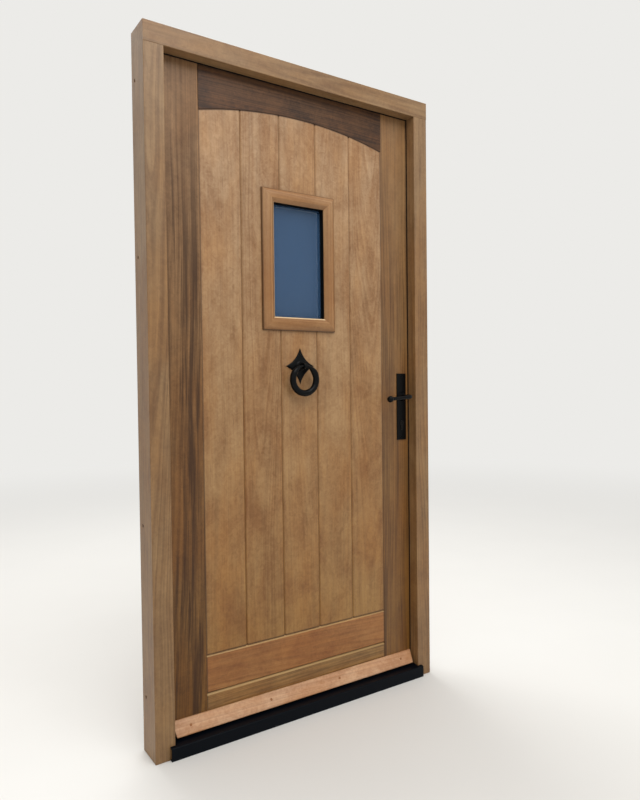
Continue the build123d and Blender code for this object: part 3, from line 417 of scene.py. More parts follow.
def uneven_uptake(tree, straight, patches):
    """Uneven uptake of the stain: soft patches a hand wide, and a curly mottle a fingertip wide."""
    patch = drawn_noise(tree, straight, (11, 11, 6), detail=6.0, roughness=0.62, distortion=0.6)
    mottle = add_node(tree, "ShaderNodeTexNoise", {
        "Vector": straight, "Scale": 70.0, "Detail": 3.0, "Roughness": 0.55, "Distortion": 1.2})
    both = add_node(tree, "ShaderNodeMath", {0: mottle, 1: 0.5, 2: patch}, operation="MULTIPLY_ADD")
    return add_node(tree, "ShaderNodeMapRange", {
        "Value": both, "From Min": 0.56, "From Max": 0.96, "To Max": patches})


def resin_flecks(tree, bent, flecks):
    """Short dark flecks, where resin canals are cut open."""
    width, long = 3.2 * MM, 45 * MM
    fleck = drawn_noise(tree, bent, (1 / width, 1 / width, 1 / long), detail=1.0, roughness=0.5)
    return add_node(tree, "ShaderNodeMapRange", {
        "Value": fleck, "From Min": 0.66, "From Max": 0.78, "To Max": flecks})


def mineral_streaks(tree, bent, axes, streaks, marks, band):
    """Long dark streaks, a centimetre or two wide. Those of a band keep to it and fade towards its top."""
    streak = drawn_noise(tree, bent, marks, detail=5.0, roughness=0.6)
    if not band:
        return add_node(tree, "ShaderNodeMapRange", {
            "Value": streak, "From Min": 0.47, "From Max": 0.64, "To Max": streaks})
    middle, half = band
    more_inside, fewer_outside = 0.12, 0.05
    nearness = add_node(tree, "ShaderNodeMapRange", {
        "Value": away_from(tree, axes["X"], middle), "From Max": half, "To Min": 1.0, "To Max": 0.0},
        interpolation_type="SMOOTHSTEP")
    gathered = add_node(tree, "ShaderNodeMath", {0: nearness, 1: more_inside, 2: streak},
                        operation="MULTIPLY_ADD")
    gathered = add_node(tree, "ShaderNodeMath", {0: gathered, 1: fewer_outside}, operation="SUBTRACT")
    share = add_node(tree, "ShaderNodeMapRange", {
        "Value": gathered, "From Min": 0.45, "From Max": 0.64, "To Max": streaks})
    below_top = add_node(tree, "ShaderNodeMapRange", {
        "Value": axes["Z"], "From Min": 1.35, "From Max": 1.8, "To Min": 1.0, "To Max": 0.25})
    return add_node(tree, "ShaderNodeMath", {0: share, 1: below_top}, operation="MULTIPLY")


def paint_moulding_outline_shade(tree, share, axes, width, depth):
    """Painted shade along the outer edge of the window mouldings, on the boards and the mouldings' outer
    sides, a little wider than a joint line.
    """
    beyond = [add_node(tree, "ShaderNodeMath", {0: away_from(tree, axes[axis], middle), 1: half},
                       operation="SUBTRACT")
              for axis, middle, half in (("X", WINDOW.x, MOULDING_HALF.x), ("Z", WINDOW.z, MOULDING_HALF.z))]
    farthest = add_node(tree, "ShaderNodeMath", {0: beyond[0], 1: beyond[1]}, operation="MAXIMUM")
    # Counted down from one metre, so that the line is darkest where the distance is nothing
    off = away_from(tree, farthest, 0)
    nearness = add_node(tree, "ShaderNodeMath", {0: 1.0, 1: off}, operation="SUBTRACT")
    return stain_and_shade_line(tree, share, nearness, 1.0, 1.3 * width, 1.5 * depth)


def paint_arch_shade(tree, share, place, above, width, depth):
    """Painted shade along the arch, under the top rail's edge, on timber above it where above is 1 and below
    it where it is 0.
    """
    centre = (0, 0, ARCH_CENTRE)
    from_centre = add_node(tree, "ShaderNodeVectorMath", {0: place, 1: centre}, operation="SUBTRACT")
    flat = add_node(tree, "ShaderNodeVectorMath", {0: from_centre, 1: (1, 0, 1)}, operation="MULTIPLY")
    reach = add_node(tree, "ShaderNodeVectorMath", {0: flat}, operation="LENGTH")
    inside = away_from(tree, reach, 2 * above * ARCH_RADIUS)
    return stain_and_shade_line(tree, share, inside, ARCH_RADIUS, 1.4 * width, 2 * depth)


def paint_edge_highlight(tree, tone, axes, edge_highlight_tone, axis, edge, width, highlight_share):
    """Paints a highlight in a strip below an edge on an axis, where light catches the edge, and fades it out
    at the strip's foot.
    """
    painted_highlight = add_node(tree, "ShaderNodeMapRange", {
        "Value": axes[axis], "From Min": edge - 1.6 * width, "From Max": edge - width, "To Max": highlight_share})
    return add_node(tree, "ShaderNodeMix", {FACTOR: painted_highlight, FIRST: tone, SECOND: edge_highlight_tone}, data_type="RGBA")


def stain_timber(node, timber, along, heart, finish="oak_stained", figure=0.5, patches=0.5, streaks=0.12,
                 streak_band=None, streak_marks=(85, 85, 2), flecks=0.3, foot=1.0, lean=(0.9, 0.6), lines=(),
                 arch_above=None, outline=False, edge_highlight=None, sheen=0.44, shine=0.5):
    """Finishes a CAD node as planed softwood under a translucent oak stain and a brushed satin lacquer.

    The stain leaves earlywood pale and latewood dark, so the growth rings show as soft bands with finer
    streaks of fibres across them, under a mottle of uneven uptake, and it gathers at the joint lines.
    Painted shade darkens the foot, the gaps under board ends, the stiles' edges, the arch and the moulding
    outline, and a painted highlight lies along edges that light catches.
    timber names its pair of colours, along is the grain's direction, X or Z, heart a point of the log's
    pith, and lean its tilt in degrees.
    figure, patches, streaks and flecks are how strongly each of them shows, and foot how strongly the painted
    shade shows at the foot.
    streak_band is the middle and half width of the band that most of the dark streaks keep to.
    arch_above is 1 for timber above the arch and 0 for timber below it; both get painted shade along the
    arch.
    outline is for timber that meets the outer edge of the window mouldings, and paints shade along that edge.
    The painted edge highlight is an axis, a place on it, a width below that place and its share there.
    sheen is the lacquer's roughness, and shine its specular level.
    """
    sizes = bpy.context.scene.door_timber
    light, dark = getattr(sizes, f"{timber}_light"), getattr(sizes, f"{timber}_dark")
    material, tree, place = blank_material(f"{finish}_softwood_{node}")
    axes = add_node(tree, "ShaderNodeSeparateXYZ", {"Vector": place}).outputs
    straight, bent = log_space(tree, place, along, heart, lean)

    # Growth rings, with fibres that run along the log and are much longer than wide
    fibre_marks = (1 / sizes.fibre_width, 1 / sizes.fibre_width, 1 / sizes.fibre_length)
    fibres = drawn_noise(tree, bent, fibre_marks, detail=3.0, roughness=0.6)
    rings = growth_rings(tree, bent, sizes.ring_spacing)
    grain = add_node(tree, "ShaderNodeMath", {0: fibres, 1: 1.1, 2: rings}, operation="MULTIPLY_ADD")
    grain_share = add_node(tree, "ShaderNodeMapRange", {
        "Value": grain, "From Min": 0.4, "From Max": 1.9, "To Max": figure})
    darkness = add_node(tree, "ShaderNodeMath", {0: grain_share, 1: uneven_uptake(tree, straight, patches)},
                        operation="ADD", use_clamp=True)
    tone = add_node(tree, "ShaderNodeMix", {FACTOR: darkness, FIRST: light, SECOND: dark}, data_type="RGBA")

    # Some patches are warmer, where more of the stain's orange has stayed
    warmth = drawn_noise(tree, straight, (9, 9, 3), detail=4.0, roughness=0.55, start=(3, 5, 7))
    warm_share = add_node(tree, "ShaderNodeMapRange", {"Value": warmth, "From Min": 0.42, "From Max": 0.66})
    tone = add_node(tree, "ShaderNodeMix", {FACTOR: warm_share, FIRST: tone, SECOND: sizes.warm_tone},
                    data_type="RGBA", blend_type="MULTIPLY")

    # Dark stain and painted shade: streaks, flecks, what has gathered in the joints, and painted shade under
    # edges, along the arch and round the mouldings
    stain = add_node(tree, "ShaderNodeMath", {
        0: mineral_streaks(tree, bent, axes, streaks, streak_marks, streak_band),
        1: resin_flecks(tree, bent, flecks)}, operation="MAXIMUM")
    width, depth = sizes.line_width, sizes.line_depth
    for axis, middle, half, share in lines:
        off = away_from(tree, axes[axis], middle)
        stain = stain_and_shade_line(tree, stain, off, half, share * width, share * depth)
    if outline:
        stain = paint_moulding_outline_shade(tree, stain, axes, width, depth)
    if arch_above is not None:
        stain = paint_arch_shade(tree, stain, place, arch_above, width, depth)
    tone = add_node(tree, "ShaderNodeMix", {FACTOR: stain, FIRST: tone, SECOND: sizes.stain},
                    data_type="RGBA")
    # Painted highlight along an edge that light from above catches
    if edge_highlight:
        tone = paint_edge_highlight(tree, tone, axes, sizes.edge_highlight_tone, *edge_highlight)

    # Painted shade: darker and more golden towards the foot, for the weaker light and fainter sky sheen low
    # on the door
    foot_shade_share = add_node(tree, "ShaderNodeMapRange", {
        "Value": axes["Z"], "From Min": 0.1, "From Max": 1.7, "To Min": foot, "To Max": 0.0})
    tone = add_node(tree, "ShaderNodeMix", {FACTOR: foot_shade_share, FIRST: tone, SECOND: sizes.foot_shade_tint},
                    data_type="RGBA", blend_type="MULTIPLY")

    # Lacquer fills the fibres, so they show as a faint ripple in the sheen
    gloss = add_node(tree, "ShaderNodeMapRange", {
        "Value": fibres, "From Min": 0.3, "From Max": 0.7, "To Min": sheen - 0.05, "To Max": sheen + 0.08})
    ripple = add_node(tree, "ShaderNodeBump", {"Strength": 0.15, "Distance": 0.3 * MM, "Height": fibres})
    surface(tree, {"Base Color": tone, "Roughness": gloss, "Specular IOR Level": shine, "Normal": ripple})
    finish_nodes(material, node)


def hammered_iron(name, tint, mark):
    """Cast iron, hammered and powder-coated black, which gives it soft dents and a satin sheen."""
    grit_width, roughness = 1.2 * MM, 0.32
    material, tree, place = blank_material(name)
    dents = add_node(tree, "ShaderNodeTexVoronoi", {"Vector": place, "Scale": 1 / mark, "Smoothness": 0.6},
                     feature="SMOOTH_F1")
    grit = add_node(tree, "ShaderNodeTexNoise", {
        "Vector": place, "Scale": 1 / grit_width, "Detail": 2.0, "Roughness": 0.6})
    relief = add_node(tree, "ShaderNodeMath", {0: grit, 1: 0.12, 2: dents}, operation="MULTIPLY_ADD")
    satin = add_node(tree, "ShaderNodeMapRange", {
        "Value": grit, "To Min": roughness - 0.07, "To Max": roughness + 0.09})
    bump = add_node(tree, "ShaderNodeBump", {"Strength": 0.55, "Distance": 0.8 * MM, "Height": relief})
    surface(tree, {"Base Color": mottled(tree, grit, tint, darkest=0.6), "Roughness": satin,
                   "Specular IOR Level": 0.13, "Normal": bump})
    return material


def fine_grained(name, tint, roughness, grain, metallic=0.0, stretch=(1, 1, 1)):
    """An even fine grain, which softens the highlights of brushed or coated metal, rubber and filler.

    grain is drawn coarse enough to show, and stretch draws it out along an axis where it is less than 1.
    """
    material, tree, place = blank_material(name)
    lines = drawn_noise(tree, place, [share / grain for share in stretch], detail=2.0, roughness=0.5)
    satin = add_node(tree, "ShaderNodeMapRange", {
        "Value": lines, "To Min": roughness - 0.06, "To Max": roughness + 0.06})
    bump = add_node(tree, "ShaderNodeBump", {"Strength": 0.3, "Distance": 0.05 * MM, "Height": lines})
    surface(tree, {"Base Color": mottled(tree, lines, tint, darkest=0.8), "Metallic": metallic,
                   "Roughness": satin, "Normal": bump, "Specular IOR Level": 0.5 if metallic else 0.1})
    return material


def float_glass(name, tint, alpha):
    """Float glass with painted sky and a painted dark room behind: a deep blue-grey, slow waves, smooth and
    hard.
    """
    material, tree, place = blank_material(name)
    waves = add_node(tree, "ShaderNodeTexNoise", {"Vector": place, "Scale": 4.0, "Detail": 1.0})
    surface(tree, {"Base Color": mottled(tree, waves, tint, darkest=0.8), "Roughness": 0.06, "IOR": 1.52,
                   "Alpha": alpha})
    return material


def sealed_spacer(name, metals):
    """A mill aluminium bar between the panes. Black sealant covers it up to its bright inner edge."""
    bright, blurred = 5 * MM, 1 * MM
    material, tree, place = blank_material(name)
    depth = add_node(tree, "ShaderNodeSeparateXYZ", {"Vector": place}).outputs["Y"]
    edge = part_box("pane_spacer")[1].y - bright
    share = add_node(tree, "ShaderNodeMapRange", {
        "Value": depth, "From Min": edge - blurred, "From Max": edge})
    tone = add_node(tree, "ShaderNodeMix", {FACTOR: share, FIRST: metals.rubber, SECOND: metals.spacer},
                    data_type="RGBA")
    surface(tree, {"Base Color": tone, "Roughness": 0.45})
    return material


class DOOR_OT_boards(bpy.types.Operator):
    """Gives each board of both faces its own cut of stained timber"""

    bl_idname = "door.boards"
    bl_label = "Boards"

    def execute(self, context):
        # How strongly the rings show, and how far the log leans, which turns bands into arches
        boards = {"board_1": (0.2, 0.9), "board_2": (0.42, 0.6), "board_3_upper": (0.22, 1.2),
                  "board_3_lower": (0.25, 0.9), "board_4": (0.2, 1.4), "board_5": (0.4, 2.4)}
        pitch = FIELD_HALF * 2 / 5
        # Each is cut beside its log's pith, at its own height in the log, so that no two are alike
        pith_depth, most_drift, next_cut = 110 * MM, 70 * MM, 310 * MM
        for face, side in (("outer", 1), ("inner", -1)):
            for index, (board, (figure, tilt)) in enumerate(boards.items()):
                node = f"{face}_{board}"
                middle, top = middle_of(node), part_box(node)[1].z
                column = round(middle.x / pitch) * pitch
                drift = most_drift * math.sin(2.4 * index + side)
                stain_timber(
                    node, "board", "Z", (column + drift, middle.y + side * pith_depth, next_cut * index),
                    figure=figure, patches=0.8, flecks=0.25, lean=(tilt, 0.6),
                    lines=[("X", column, pitch / 2, BOARD_JOINT_DEPTH), BOARD_FOOT_SHADE_LINE, STILE_JOINT_AND_SHADE],
                    outline=abs(column) < 2 * pitch,
                    arch_above=0 if top > ARCH_CROWN - 2 * ARCH_RISE else None)
        return {"FINISHED"}


class DOOR_OT_framing(bpy.types.Operator):
    """Finishes the stiles, rails, lower board, core and weatherboard of the leaf"""

    bl_idname = "door.framing"
    bl_label = "Stiles, rails and weatherboard"

    def execute(self, context):
        # Stiles: dark mineral streaks run down them, thickest beside the middle
        hinge, lock = middle_of("hinge_stile").x, middle_of("lock_stile").x
        stain_timber("hinge_stile", "hinge", "Z", (hinge - 0.09, 0.09, -0.4), figure=0.35, patches=0.45,
                     streaks=0.85, streak_band=(hinge + 0.028, 0.055), streak_marks=(74, 74, 1.2), shine=0.35)
        stain_timber("lock_stile", "lock", "Z", (lock + 0.09, 0.09, 0.4), patches=0.4, streaks=0.55,
                     streak_band=(lock - 0.05, 0.06))

        # Top rail: dark and dull, partly from taking up the most stain and partly painted shade, as under a
        # lintel over the door
        stain_timber("top_rail", "rail", "X", (0.2, 0.09, 1.78), finish="dark_stained_and_shaded", figure=0.55,
                     patches=0.65, streaks=0.6, foot=0.0, shine=0.36, arch_above=1)

        # Lower board and bottom rail: warm, with a painted highlight along the upper edge, where light from
        # above catches the chamfer
        highlight_width = 4.5 * MM
        stain_timber("lower_board", "lower", "X", (0.1, 0.05, 0.17), patches=0.6, foot=0.8, lean=(1.0, 2.5),
                     lines=[LOWER_BOARD_FOOT_SHADE_LINE, STILE_JOINT_AND_SHADE], edge_highlight=("Z", LOWER_BOARD_TOP, highlight_width, 0.5))
        stain_timber("bottom_rail", "bottom", "X", (0.4, 0.08, 0.02), streaks=0.5, foot=0.8,
                     lines=[STILE_JOINT_AND_SHADE], edge_highlight=("Z", RAIL_TOP, highlight_width, 0.4))

        # Core: planed and never stained, so it is pale and dull
        stain_timber("leaf_core", "raw", "Z", (0, 0, 0), finish="raw", figure=0.6, patches=0.3, streaks=0.0,
                     foot=0.0, sheen=0.7)

        # Weatherboard: weathered to a lighter orange, so the patches show more than the grain
        stain_timber("weatherboard", "weather", "X", (0.1, -0.02, 0.0), finish="weathered", figure=0.3,
                     patches=0.95, foot=0.3)
        return {"FINISHED"}


class DOOR_OT_frame(bpy.types.Operator):
    """Finishes the head and jambs of the frame"""

    bl_idname = "door.frame"
    bl_label = "Frame"

    def execute(self, context):
        # Evenly stained, with a plain grain
        for node, along, heart in (("frame_head", "X", (0.3, 0.08, 1.96)),
                                   ("hinge_jamb", "Z", (-0.52, 0.06, 0.2)),
                                   ("lock_jamb", "Z", (0.53, 0.07, 0.9))):
            stain_timber(node, "frame", along, heart, streaks=0.2, foot=0.35)
        return {"FINISHED"}


class DOOR_OT_glazing(bpy.types.Operator):
    """Finishes the mouldings, panes and spacer of the light, and makes its gaskets"""

    bl_idname = "door.glazing"
    bl_label = "Glazed light"

    def execute(self, context):
        metals = context.scene.door_iron
        # Painted highlights lie along the inner edges of the bottom and left mouldings, where light catches
        # the arris, so they show pale
        painted_highlight = {"window_moulding_bottom": ("Z", WINDOW.z - SIGHT_HALF.z, 2.5 * MM, 1.0),
                  "window_moulding_left": ("X", -SIGHT_HALF.x, 1.5 * MM, 0.6)}
        for node, along in (("window_moulding_top", "X"), ("window_moulding_bottom", "X"),
                            ("window_moulding_left", "Z"), ("window_moulding_right", "Z"),
                            ("inner_window_mouldings", "Z")):
            middle = middle_of(node)
            stain_timber(node, "moulding", along, (middle.x + 0.03, 0.03, middle.z + 0.02), patches=0.45,
                         streaks=0.1, outline=True, edge_highlight=painted_highlight.get(node), sheen=0.4)
        # The outer pane's blue-grey is a painted reflection of the sky, over the painted dark room on the
        # inner pane
        finish_nodes(float_glass("clear_float_glass_painted_sky", metals.glass, 1 - metals.see_through), "outer_pane")
        # The inner pane is opaque, a painted stand-in for the dark room behind the glass
        finish_nodes(float_glass("opaque_float_glass_painted_sky_and_dark_room", metals.glass, 1.0), "inner_pane")
        finish_nodes(sealed_spacer("sealed_aluminium_spacer", metals), "pane_spacer")

        # Wedge gaskets: a strip under the pane's edge and a wedge up the side of the moulding
        mesh = bmesh.new()
        pane_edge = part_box("outer_pane")[1].x - SIGHT_HALF.x
        strip, wedge_top, clear = 2 * MM, 16.5 * MM, -0.05 * MM
        profile = [(pane_edge, 0), (-1.5 * MM, 0), (-1.4 * MM, 4 * MM), (-0.9 * MM, wedge_top),
                   (clear, wedge_top), (clear, strip), (pane_edge, strip)]
        corners = [(x * SIGHT_HALF.x, WINDOW.z + z * SIGHT_HALF.z, x, z)
                   for x, z in ((-1, -1), (1, -1), (1, 1), (-1, 1), (-1, -1))]
        for facing, pane_face in ((-1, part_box("outer_pane")[0].y), (1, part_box("inner_pane")[1].y)):
            draw_round(mesh, [(reach, pane_face + facing * depth) for reach, depth in profile], corners)
        # Moulded rubber is black and dull, with hardly a highlight
        rubber = fine_grained("moulded_rubber_gasket", metals.rubber, roughness=0.65, grain=1.5 * MM)
        new_piece("wedge_glazing_gaskets", mesh, "leaf", "black_rubber", rubber, "glazing_gaskets")
        return {"FINISHED"}


class DOOR_OT_threshold(bpy.types.Operator):
    """Finishes the threshold and its seal, and makes the frame seal"""

    bl_idname = "door.threshold"
    bl_label = "Threshold and seals"

    def execute(self, context):
        metals = context.scene.door_iron
        # Drawn through a die and coated black, so faint lines run along it in a satin sheen
        finish_nodes(fine_grained("black_coated_extruded_aluminium", metals.aluminium, roughness=0.38,
                                  grain=1.6 * MM, stretch=(0.02, 1, 1)), "threshold")
        # Extruded rubber is dull, with fine lines along it
        rubber = fine_grained("extruded_rubber_seal", metals.rubber, roughness=0.7, grain=1.5 * MM,
                              stretch=(0.1, 1, 0.1))
        finish_nodes(rubber, "threshold_seal")

        # Frame seal: a stem in the stop's groove and a lip that stands a little out of the gap
        stem = [(3.1, -3.9), (5.9, -3.9), (5.9, 0.02)]
        lip = [(8.4, 0.02), (8.4, 2.0), (7.8, 2.6), (-1.8, 2.6), (-2.7, 2.2), (-3.2, 1.4), (-2.7, 0.5),
               (-1.8, 0.05), (3.1, 0.02)]
        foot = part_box("frame_seal")[0].z
        corners = [(-STOP_HALF, foot, -1, 0), (-STOP_HALF, STOP_TOP, -1, 1), (STOP_HALF, STOP_TOP, 1, 1),
                   (STOP_HALF, foot, 1, 0)]
        mesh = bmesh.new()
        draw_round(mesh, [(reach * MM, STOP_Y + depth * MM) for reach, depth in stem + lip], corners)
        new_piece("lipped_frame_seal", mesh, "frame", "black_rubber", rubber, "frame_seal")
        return {"FINISHED"}


def iron_of(metals):
    """The coat that all the ironware has, made once."""
    made = bpy.data.materials.get("hammered_black_cast_iron")
    return made or hammered_iron("hammered_black_cast_iron", metals.iron, metals.hammer_mark)


class DOOR_OT_knocker_plate(bpy.types.Operator):
    """Makes the knocker's star plate with its boss and eye"""

    bl_idname = "door.knocker_plate"
    bl_label = "Knocker plate"

    def execute(self, context):
        metals = context.scene.door_iron
        low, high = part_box("knocker_plate")
        half_width, half_height = high.x, (high.z - low.z) / 2

        # Star with four hollow sides
        mesh = bmesh.new()
        hollow, steps, rim = 9 * MM, 14, 2.6 * MM
        tips = [Vector((0, half_height)), Vector((half_width, 0)), Vector((0, -half_height)),
                Vector((-half_width, 0))]
        outline = []
        for start, end in zip(tips, tips[1:] + tips[:1]):
            inward = -((start + end) / 2).normalized()
            for step in range(steps):
                share = step / steps
                point = start.lerp(end, share) + inward * 4 * share * (1 - share) * hollow
                outline.append(mesh.verts.new((point.x, high.y, PIVOT.z + point.y)))
        raise_slab(mesh, outline, (0, STAR_Y - high.y, 0), rim, segments=3)

        # Boss, swept up in a cove from the plate
        cove = [(16.0, -0.5), (15.8, 0.6), (14.4, 1.6), (12.8, 3.2), (11.6, 5.0), (10.8, 6.6)]
        crown = [(9.8, 7.8), (8.0, 8.0), (0.0, 8.0)]
        lathe(mesh, [(radius * MM, height * MM) for radius, height in cove + crown], (0, STAR_Y, PIVOT.z),
              (0, -1, 0), sides=40)

        # Eye: a round-nosed lug with a hole, square where it meets the boss
        lug = bmesh.new()
        reach, bore, half_lug, turns, nearly_none = 9 * MM, 5 * MM, 4 * MM, 48, 0.001
        root = STAR_Y - PIVOT.y
        rings = []
        for radius in (reach, bore):
            ring = []
            for turn in range(turns):
                angle = math.tau * turn / turns
                towards, up = math.cos(angle), math.sin(angle)
                far = radius
                if radius == reach and towards > 0:
                    far = min(reach / max(abs(up), nearly_none), root / max(towards, nearly_none))
                ring.append(lug.verts.new((-half_lug, PIVOT.y + far * towards, PIVOT.z + far * up)))
            rings += [lug.edges.new((ring[i], ring[i - 1])) for i in range(turns)]
        bmesh.ops.bridge_loops(lug, edges=rings)
        drawn = points_in(bmesh.ops.extrude_face_region(lug, geom=lug.faces[:])["geom"])
        bmesh.ops.translate(lug, vec=(2 * half_lug, 0, 0), verts=drawn)
        nearly_square = math.radians(69)
        sharp = [edge for edge in lug.edges
                 if len(edge.link_faces) == 2 and edge.calc_face_angle() > nearly_square]
        soften(lug, sharp, 1.2 * MM, segments=2)
        join(mesh, lug)
        new_piece("hammered_knocker_plate", mesh, "leaf", "black_iron", iron_of(metals), "knocker_plate")
        return {"FINISHED"}


class DOOR_OT_knocker_ring(bpy.types.Operator):
    """Makes the forged ring, thin in the eye and thick in the hand"""

    bl_idname = "door.knocker_ring"
    bl_label = "Knocker ring"

    def execute(self, context):
        metals = context.scene.door_iron
        radius, thick, thin = metals.ring_radius, metals.ring_thick, metals.ring_thin
        middle = PIVOT - Vector((0, 0, radius))
        mesh = bmesh.new()
        place = Matrix.Translation(PIVOT) @ Matrix.Rotation(math.pi / 2, 4, "Y")
        made, edges = circle(mesh, place, thick, sides=24)
        bmesh.ops.spin(mesh, geom=made + edges, cent=middle, axis=(0, 1, 0), angle=math.tau, steps=120,
                       use_merge=True, use_duplicate=False)

        def centre_line(point):
            return middle + Vector((point.x, 0, point.z - middle.z)).normalized() * radius

        # The bar swells smoothly between two angles down from the eye
        taper_start, taper_end = 14, 62
        for vert in mesh.verts:
            centre = centre_line(vert.co)
            angle = math.degrees((centre - middle).angle(Vector((0, 0, 1))))
            share = min(max((angle - taper_start) / (taper_end - taper_start), 0), 1)
            swell = thin + (thick - thin) * share * share * (3 - 2 * share)
            vert.co = centre + (vert.co - centre) * swell / thick
        hammer(mesh, centre_line, metals.dent, metals.hammer_mark)
        new_piece("forged_knocker_ring", mesh, "knocker", "black_iron", iron_of(metals), "knocker_ring")
        return {"FINISHED"}


class DOOR_OT_levers(bpy.types.Operator):
    """Makes the two levers, each a tapered bar with a ball at its tip"""

    bl_idname = "door.levers"
    bl_label = "Levers"

    def execute(self, context):
        metals = context.scene.door_iron
        bar, ball, stand = metals.lever_bar, metals.lever_ball, metals.lever_stand
        droop = math.radians(4)
        along = Vector((-math.cos(droop), 0, -math.sin(droop)))
        bend, bend_steps = 9 * MM, 8
        # The bar slims towards a waist of this share of its radius, where the ball begins
        slim, bar_steps = 0.88, 21
        ball_at, ball_steps = metals.lever_reach - ball, 14
        neck = ball_at - math.sqrt(ball ** 2 - (bar * slim) ** 2)
        neck_turn = math.asin(bar * slim / ball)
        # Depths and radii of the round neck that comes out of the hub, in millimetres
        root_neck = ((0.2, 8), (12, 8), (13, 7.9), (20, 7.4), (30, 7.3), (38, 7.5))
        for name, facing, face in (("outer", -1, FACE_Y), ("inner", 1, BACK_Y)):
            outward = Vector((0, facing, 0))
            root = Vector((SPINDLE.x, face, SPINDLE.z))
            elbow = root + outward * stand
            hub = elbow - outward * bend + along * bend
            path = [(root + outward * depth * MM, outward, radius * MM) for depth, radius in root_neck]
            path.append((elbow - outward * bend, outward, bar))
            for step in range(1, bend_steps + 1):
                turn = math.pi / 2 * step / bend_steps
                path.append((hub + (outward * math.sin(turn) - along * math.cos(turn)) * bend,
                             outward * math.cos(turn) + along * math.sin(turn), bar))
            for step in range(1, bar_steps + 1):
                share = step / bar_steps
                path.append((elbow + along * (bend + (neck - bend) * share), along,
                             bar * (1 - (1 - slim) * math.sin(math.pi * min(share * 0.75, 0.5)))))
            for step in range(1, ball_steps + 1):
                turn = neck_turn + (math.pi - neck_turn) * step / ball_steps
                path.append((elbow + along * (ball_at - ball * math.cos(turn)), along,
                             max(ball * math.sin(turn), 0.3 * MM)))
            mesh = bmesh.new()
            draw_out(mesh, path, sides=24)

            def centre_line(point):
                if (point - root).dot(outward) < stand - bend - bar:
                    return root + outward * (point - root).dot(outward)
                return elbow + along * min(max((point - elbow).dot(along), 0), ball_at)

            hammer(mesh, centre_line, metals.dent, metals.hammer_mark)
            new_piece(f"forged_{name}_lever", mesh, "handle", "black_iron", iron_of(metals), f"{name}_lever")
        return {"FINISHED"}


def domed_screw(mesh, place, outward, depth, turn, head):
    """A screw whose dome is two halves, with the driver's slot between them at a turn in degrees."""
    shank, tip, neck, seat, rise, half_slot = 2 * MM, 4 * MM, 2.4 * MM, 0.3 * MM, 0.9 * MM, 0.5 * MM
    under_head, arc_steps = head - 0.1 * MM, 14
    lathe(mesh, [(0, -depth), (0.3 * shank, -depth), (shank, -depth + tip), (shank, -neck),
                 (under_head, -0.2 * MM), (under_head, seat), (0, seat)], place, outward, sides=24)
    tilt = math.asin(half_slot / head)
    for half in (0, 180):
        dome = bmesh.new()
        arc = [dome.verts.new((head * math.cos(angle), head * math.sin(angle), seat))
               for angle in (tilt + (math.pi - 2 * tilt) * step / arc_steps for step in range(arc_steps + 1))]
        raise_slab(dome, arc, (0, 0, rise), 0.7 * MM, segments=2)
        spun = Matrix.Rotation(math.radians(turn + half), 4, "Z")
        bmesh.ops.transform(dome, matrix=stand_on(place, outward) @ spun, verts=dome.verts)
        join(mesh, dome)


class DOOR_OT_screws(bpy.types.Operator):
    """Makes the slotted domed screws of the ironware and the plugs over the weatherboard's screws"""

    bl_idname = "door.screws"
    bl_label = "Screws and plugs"

    def execute(self, context):
        metals = context.scene.door_iron
        head = metals.screw_head
        mesh = bmesh.new()

        # Two screws in the knocker's upper and lower tips
        from_boss, knocker_depth = 37 * MM, 12 * MM
        for end in (-1, 1):
            domed_screw(mesh, (0, STAR_Y, PIVOT.z + end * from_boss), (0, -1, 0), knocker_depth, 40, head)

        # Two screws in each handle plate
        low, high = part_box("outer_handle_plate")
        inset, stand, plate_depth = 11 * MM, 4 * MM, 22 * MM
        for z, turn in ((high.z - inset, 15), (low.z + inset, 70)):
            domed_screw(mesh, (SPINDLE.x, FACE_Y - stand, z), (0, -1, 0), plate_depth, turn, head)
            domed_screw(mesh, (SPINDLE.x, BACK_Y + stand, z), (0, 1, 0), plate_depth, turn + 30, head)
        new_piece("domed_iron_screws", mesh, "leaf", "black_iron", iron_of(metals), "black_screws")

        # Weatherboard: its screws are sunk and filled, so that only small brown discs show
        mesh = bmesh.new()
        slope = Vector((0, -35, 22)).normalized()
        on_slope_y, on_slope_z = -21.5 * MM, 66.5 * MM
        plug, top, sunk, proud = 3.4 * MM, 2.9 * MM, 8 * MM, 0.3 * MM
        profile = [(0, -sunk), (plug, -sunk), (plug, 0.05 * MM), (top, proud), (0, proud)]
        for x in (-389 * MM, -128 * MM, 128 * MM, 389 * MM):
            lathe(mesh, profile, Vector((x, on_slope_y, on_slope_z)), slope, sides=20)
        # Filler dries flat and dull, and browner than the board
        filler = fine_grained("brown_wood_filler", metals.plug, roughness=0.6, grain=1.2 * MM)
        new_piece("weatherboard_plugs", mesh, "leaf", "weatherboard_timber", filler, "black_screws")
        return {"FINISHED"}


